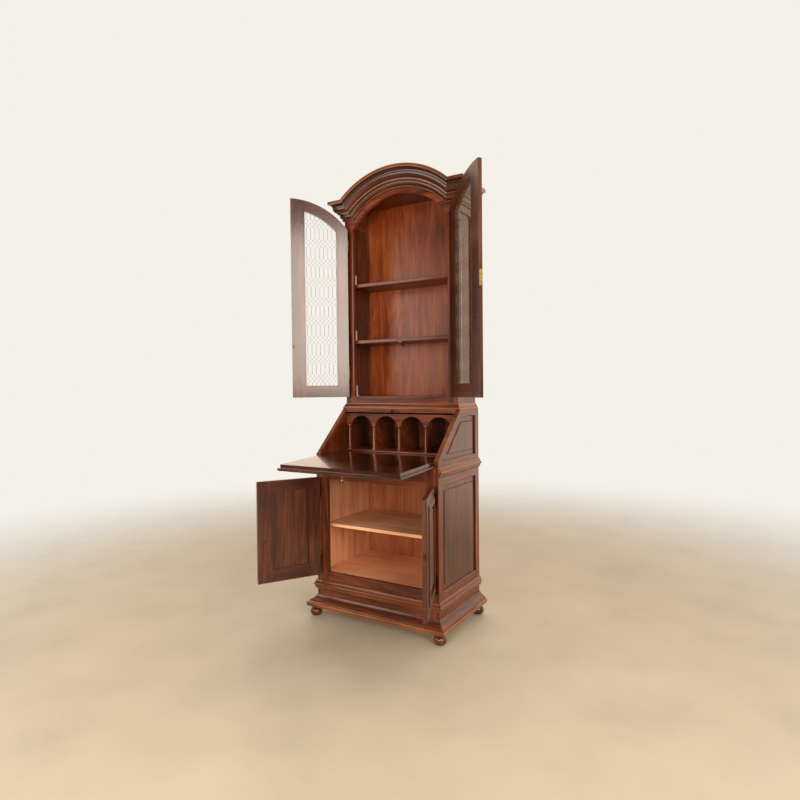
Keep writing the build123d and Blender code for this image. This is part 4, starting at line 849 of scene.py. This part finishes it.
class SECRETARY_OT_columns(bpy.types.Operator):
    """Turn the five little columns of the desk gallery"""

    bl_idname = "secretary.columns"
    bl_label = "Gallery columns"

    def execute(self, context):
        geometry = lathe(outline(*COLUMN_OUTLINE), COLUMN_CENTRES, COLUMN_SEGMENTS)
        material = finish("turned_walnut")
        add_piece("gallery_columns_turned", geometry, "case", ["gallery_columns"], material)
        return {"FINISHED"}


# The lattice: pitch of its pairs, heights of a straight stretch and of a band, and one stretch's middle.
LATTICE_PITCH = 0.021
STRAIGHT_HEIGHT = 0.048
BAND_HEIGHT = 0.047
STRETCH_MIDDLE = 1.745
# The opening it fills: distances from the door's pin, its foot, and the circle of its arched head.
OPENING_LOW = DOOR_STILE_REACH
OPENING_HIGH = 0.21525
OPENING_BOTTOM = 1.092
OPENING_ARCH_CENTRE = 1.655
OPENING_ARCH_RADIUS = 0.3
WIRE_OVERLAP = 0.003
LADDER_STEPS = 2400
WIRE_STATIONS = 430
WIRE_SIDES = 6
TWIST_TIGHTNESS = 0.98
UNTWIST_RATE = 12
LATTICE_DEPTH = -0.0011
WIRE_SWAY = 0.0003
DEPTH_RANGE = (-0.002, -0.0002)


def lattice_wires(side, angle, wire, twist):
    """Wires of one door's lattice, each a round tube carried along its path.

    In a straight stretch the two wires of a pair turn round each other, a helix of one wire's radius. In the
    band between two stretches each goes out to half the pitch, back, and out again, so that neighbours meet
    in rows of diamonds: a triangle wave of the height. The helix dies away over the first and last twelfth of
    a band. Each wire ends where its path meets the arch.
    """
    pairs = np.arange(0, int((OPENING_HIGH - OPENING_LOW) / LATTICE_PITCH) + 2) * LATTICE_PITCH + OPENING_LOW
    home = np.repeat(pairs, 2)
    sign = np.tile([1.0, -1.0], len(pairs))
    period = STRAIGHT_HEIGHT + BAND_HEIGHT
    leftmost, rightmost = OPENING_LOW - WIRE_OVERLAP, OPENING_HIGH + WIRE_OVERLAP
    foot = OPENING_BOTTOM - WIRE_OVERLAP
    reach = OPENING_ARCH_RADIUS + WIRE_OVERLAP

    def across(z):
        """Distance from the pin at each height, home plus the wave in the bands, and the share of a band."""
        share = ((z - STRETCH_MIDDLE + STRAIGHT_HEIGHT / 2) % period - STRAIGHT_HEIGHT) / BAND_HEIGHT
        wave = np.interp(np.clip(share, 0, 1), [0, 0.25, 0.5, 0.75, 1], [0, 1, 0, 1, 0])
        return np.clip(home + sign * wave * LATTICE_PITCH / 2, leftmost, rightmost), share

    # A fine ladder of heights finds the first at which each wire leaves the arched opening.
    ladder = np.linspace(foot, OPENING_ARCH_CENTRE + reach, LADDER_STEPS)[:, None]
    from_centre = UPPER_PIN_SPAN - across(ladder)[0]
    crown = OPENING_ARCH_CENTRE + np.sqrt(np.maximum(reach**2 - from_centre**2, 0))
    top = ladder[np.argmax(ladder > crown, axis=0), 0]
    z = foot + np.linspace(0, 1, WIRE_STATIONS)[:, None] * (top - foot)
    run, share = across(z)
    turn = 2 * math.pi * z / twist + np.where(sign > 0, 0.0, math.pi)
    gone = np.clip(share, 0, 1) * UNTWIST_RATE
    twisted = np.clip(1 - gone, 0, 1) + np.clip(gone - (UNTWIST_RATE - 1), 0, 1)
    twisted = np.where(share < 0, 1.0, twisted)
    run = run + twisted * wire * TWIST_TIGHTNESS * np.cos(turn)
    depth = LATTICE_DEPTH + twisted * np.sin(turn) * WIRE_SWAY
    depth = depth + (1 - twisted) * sign * WIRE_SWAY

    ring = np.arange(WIRE_SIDES) * 2 * math.pi / WIRE_SIDES
    points_run = run.T[:, :, None] + wire * np.cos(ring)
    points_depth = np.clip(depth.T[:, :, None] + wire * np.sin(ring), *DEPTH_RANGE)
    points_z = np.broadcast_to(z.T[:, :, None], points_run.shape)
    theta = math.radians(side * angle) + (0.0 if side < 0 else math.pi)
    along = np.array([math.cos(theta), math.sin(theta)])
    outward = side * np.array([-along[1], along[0]])
    pin = np.array([side * UPPER_PIN_SPAN, HUTCH_FRONT - DOOR_PIN_OFFSET])
    x = pin[0] + along[0] * points_run + outward[0] * points_depth
    y = pin[1] + along[1] * points_run + outward[1] * points_depth
    return shells(np.stack([x, y, points_z], axis=-1), points_z)


class SECRETARY_OT_lattice(bpy.types.Operator):
    """Weave the twisted wire lattice of both upper doors"""

    bl_idname = "secretary.lattice"
    bl_label = "Wire lattice"

    def execute(self, context):
        sizes = context.scene.secretary_sizes
        material = finish("drawn_brass_wire")
        for word, side, angle in (("left", -1, LEFT_ANGLE), ("right", 1, RIGHT_ANGLE)):
            geometry = lattice_wires(side, angle, sizes.wire, sizes.twist)
            nodes = [f"upper_mesh_{word}"]
            body = f"upper_door_{word}"
            add_piece(f"upper_lattice_{word}", geometry, body, nodes, material)
        return {"FINISHED"}


class SECRETARY_OT_finishes(bpy.types.Operator):
    """Give every board, panel and fitting of the model its finish"""

    bl_idname = "secretary.finishes"
    bl_label = "Finishes"

    def execute(self, context):
        finish_of = {node: name for name, nodes in FINISHED_NODES.items() for node in nodes.split()}
        for node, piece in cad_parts.items():
            if node not in finish_of:
                raise RuntimeError(f"node {node} has no finish")
            material = finish(finish_of[node])
            if piece.material_slots:
                for place in piece.material_slots:
                    place.material = material
            else:
                piece.data.materials.append(material)
        return {"FINISHED"}


# Soft lights: name, place, what each faces, side of its square, watts and colour.
LIGHTS = (
    ("key_right", (3.1, -2.3, 1.95), (0.0, -0.1, 1.15), 1.9, 118.0, "fff0e2"),
    ("fill_left", (-2.4, -3.0, 1.8), (0.0, 0.0, 1.0), 1.6, 38.0, "fff3e6"),
    ("front", (0.5, -3.4, 1.0), (0.0, 0.0, 0.7), 1.4, 56.0, "fff0e0"),
    ("overhead", (0.2, -0.9, 3.4), (0.0, 0.0, 0.9), 2.4, 5.0, "fffaf2"),
)
FLOOR_RADIUS = 6.0
FLOOR_CORNERS = 128
FLOOR_FADE = (1.2, 4.4)
FLOOR_TONES = ((0.35, 0.88), (0.6, 1.0), (0.85, 1.08))
# Strength of the room's light: dim towards the front of the room and bright from the pale wall behind.
ROOM_SPAN = (-0.5, 0.45)
ROOM_STRENGTH = (0.12, 1.55)
CAMERA_PLACE = (1.4575, -2.3919, 1.0772)
CAMERA_YAW = -0.5426
CAMERA_PITCH = -0.0207
CAMERA_ROLL = -0.0099
CAMERA_LENS = 26.46
CAMERA_SENSOR = 36.0
CAMERA_NEAR = 0.01


class SECRETARY_OT_stage(bpy.types.Operator):
    """Lay the pale floor and set up the soft lights and the camera"""

    bl_idname = "secretary.stage"
    bl_label = "Stage"

    def execute(self, context):
        scene = context.scene
        chosen = scene.secretary_colours

        # The floor is a disc: radius times cosine and sine of the turn, at height zero.
        turn = np.linspace(0, 2 * math.pi, FLOOR_CORNERS, endpoint=False)
        rim = FLOOR_RADIUS * np.stack([np.cos(turn), np.sin(turn), np.zeros_like(turn)], axis=1)
        mesh = bpy.data.meshes.new("floor")
        mesh.from_pydata(rim.tolist(), [], [list(range(len(turn)))])
        mesh.materials.append(self.floor_material(tuple(chosen.floor)))
        floor = bpy.data.objects.new("floor", mesh)
        scene.collection.objects.link(floor)

        self.surroundings(scene, tuple(chosen.backdrop), tuple(chosen.room))
        for name, place, target, size, watts, tone in LIGHTS:
            lamp = bpy.data.lights.new(name, "AREA")
            lamp.shape = "SQUARE"
            lamp.size = size
            lamp.energy = watts
            lamp.color = linear(tone)[:3]
            holder = bpy.data.objects.new(name, lamp)
            aim = (Vector(place) - Vector(target)).to_track_quat("Z", "Y")
            holder.matrix_world = Matrix.Translation(place) @ aim.to_matrix().to_4x4()
            scene.collection.objects.link(holder)
        self.viewpoint(scene)
        scene.view_settings.view_transform = "Standard"
        return {"FINISHED"}

    def viewpoint(self, scene):
        """A camera turned by its yaw and pitch, then rolled about the way it looks."""
        reach = math.cos(CAMERA_PITCH)
        rise = math.sin(CAMERA_PITCH)
        forward = np.array([math.sin(CAMERA_YAW) * reach, math.cos(CAMERA_YAW) * reach, rise])
        level = np.cross(forward, [0.0, 0.0, 1.0])
        level /= np.linalg.norm(level)
        upright = np.cross(level, forward)
        right = math.cos(CAMERA_ROLL) * level + math.sin(CAMERA_ROLL) * upright
        above = math.cos(CAMERA_ROLL) * upright - math.sin(CAMERA_ROLL) * level
        camera = bpy.data.cameras.new("camera")
        camera.sensor_width = CAMERA_SENSOR
        camera.lens = CAMERA_LENS
        camera.clip_start = CAMERA_NEAR
        viewer = bpy.data.objects.new("camera", camera)
        axes = Matrix((right, above, -forward)).transposed().to_4x4()
        viewer.matrix_world = Matrix.Translation(CAMERA_PLACE) @ axes
        scene.collection.objects.link(viewer)
        scene.camera = viewer

    def floor_material(self, near):
        """Sealed pale floor: faint 300 mm clouds and 10 mm flecks, fading away beyond 1.2 m."""
        material, tree = new_material("sealed_pale_floor")
        origin = add_node(tree, "TexCoord").outputs["Object"]
        cloud = add_node(tree, "TexNoise", {"Vector": origin, "Scale": 3.0, "Detail": 5.0})
        fleck = add_node(tree, "TexNoise", {"Vector": origin, "Scale": 90.0, "Detail": 3.0})
        mottle = {0: fleck, 1: 0.25, 2: cloud}
        mottle = add_node(tree, "Math", mottle, operation="MULTIPLY_ADD")
        ramp = []
        for stop, gain in FLOOR_TONES:
            ramp.append((stop, tuple(min(1.0, gain * part) for part in near[:3]) + (1.0,)))
        body = add_node(tree, "ValToRGB", {0: mottle}, ramp=ramp)
        reach = add_node(tree, "VectorMath", {0: origin}, operation="LENGTH").outputs["Value"]
        bump = add_node(tree, "Bump", {"Strength": 0.1, "Distance": 0.001, "Height": fleck})
        surface = {"Base Color": body, "Roughness": 0.55, "Normal": bump}
        matt = add_node(tree, "BsdfPrincipled", surface)
        clear = add_node(tree, "BsdfTransparent")
        beyond = {0: reach, 1: FLOOR_FADE[0], 2: FLOOR_FADE[1], 3: 0.0, 4: 1.0}
        beyond = add_node(tree, "MapRange", beyond, interpolation_type="SMOOTHSTEP")
        mixed = add_node(tree, "MixShader", {0: beyond, 1: matt, 2: clear})
        add_node(tree, "OutputMaterial", {0: mixed})
        return material

    def surroundings(self, scene, tone, warm):
        """Pale all round to look at; as light, a bright wall behind the desk and a dimmer room before it."""
        world = bpy.data.worlds.new("pale_room")
        world.use_nodes = True
        tree = world.node_tree
        tree.nodes.clear()
        way = add_node(tree, "TexCoord").outputs["Generated"]
        parts = add_node(tree, "SeparateXYZ", {0: way}).outputs
        level = {0: parts[1], 1: ROOM_SPAN[0], 2: ROOM_SPAN[1], 3: ROOM_STRENGTH[0], 4: ROOM_STRENGTH[1]}
        level = add_node(tree, "MapRange", level, interpolation_type="SMOOTHSTEP")
        room = add_node(tree, "Background", {"Color": warm, "Strength": level})
        seen = add_node(tree, "Background", {"Color": tone, "Strength": 1.0})
        direct = add_node(tree, "LightPath").outputs["Is Camera Ray"]
        mixed = add_node(tree, "MixShader", {0: direct, 1: room, 2: seen})
        add_node(tree, "OutputWorld", {0: mixed})
        scene.world = world


class SECRETARY_PT_panel(bpy.types.Panel):
    """Sidebar panel that lists the sizes, colours and operators"""

    bl_idname = "SECRETARY_PT_panel"
    bl_label = "Secretary desk"
    bl_space_type = "VIEW_3D"
    bl_region_type = "UI"
    bl_category = "Secretary"

    def draw(self, context):
        layout = self.layout
        for group in (context.scene.secretary_sizes, context.scene.secretary_colours):
            column = layout.column()
            for key in group.__annotations__:
                column.prop(group, key)
        for operator in OPERATORS:
            layout.operator(operator.bl_idname)


OPERATORS = (
    SECRETARY_OT_mouldings,
    SECRETARY_OT_cornice,
    SECRETARY_OT_feet,
    SECRETARY_OT_columns,
    SECRETARY_OT_lattice,
    SECRETARY_OT_finishes,
    SECRETARY_OT_stage,
)
CLASSES = (SecretarySizes, SecretaryColours) + OPERATORS + (SECRETARY_PT_panel,)


def register():
    """Register the classes and hang the two groups of properties on the scene."""
    for cls in CLASSES:
        bpy.utils.register_class(cls)
    bpy.types.Scene.secretary_sizes = bpy.props.PointerProperty(type=SecretarySizes)
    bpy.types.Scene.secretary_colours = bpy.props.PointerProperty(type=SecretaryColours)


def unregister():
    """Take the groups off the scene and unregister the classes."""
    del bpy.types.Scene.secretary_sizes
    del bpy.types.Scene.secretary_colours
    for cls in reversed(CLASSES):
        bpy.utils.unregister_class(cls)


def main():
    """Make every piece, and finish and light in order."""
    register()
    bpy.ops.secretary.mouldings()
    bpy.ops.secretary.cornice()
    bpy.ops.secretary.feet()
    bpy.ops.secretary.columns()
    bpy.ops.secretary.lattice()
    bpy.ops.secretary.finishes()
    bpy.ops.secretary.stage()
    bpy.context.view_layer.update()


if __name__ == "__main__":
    main()
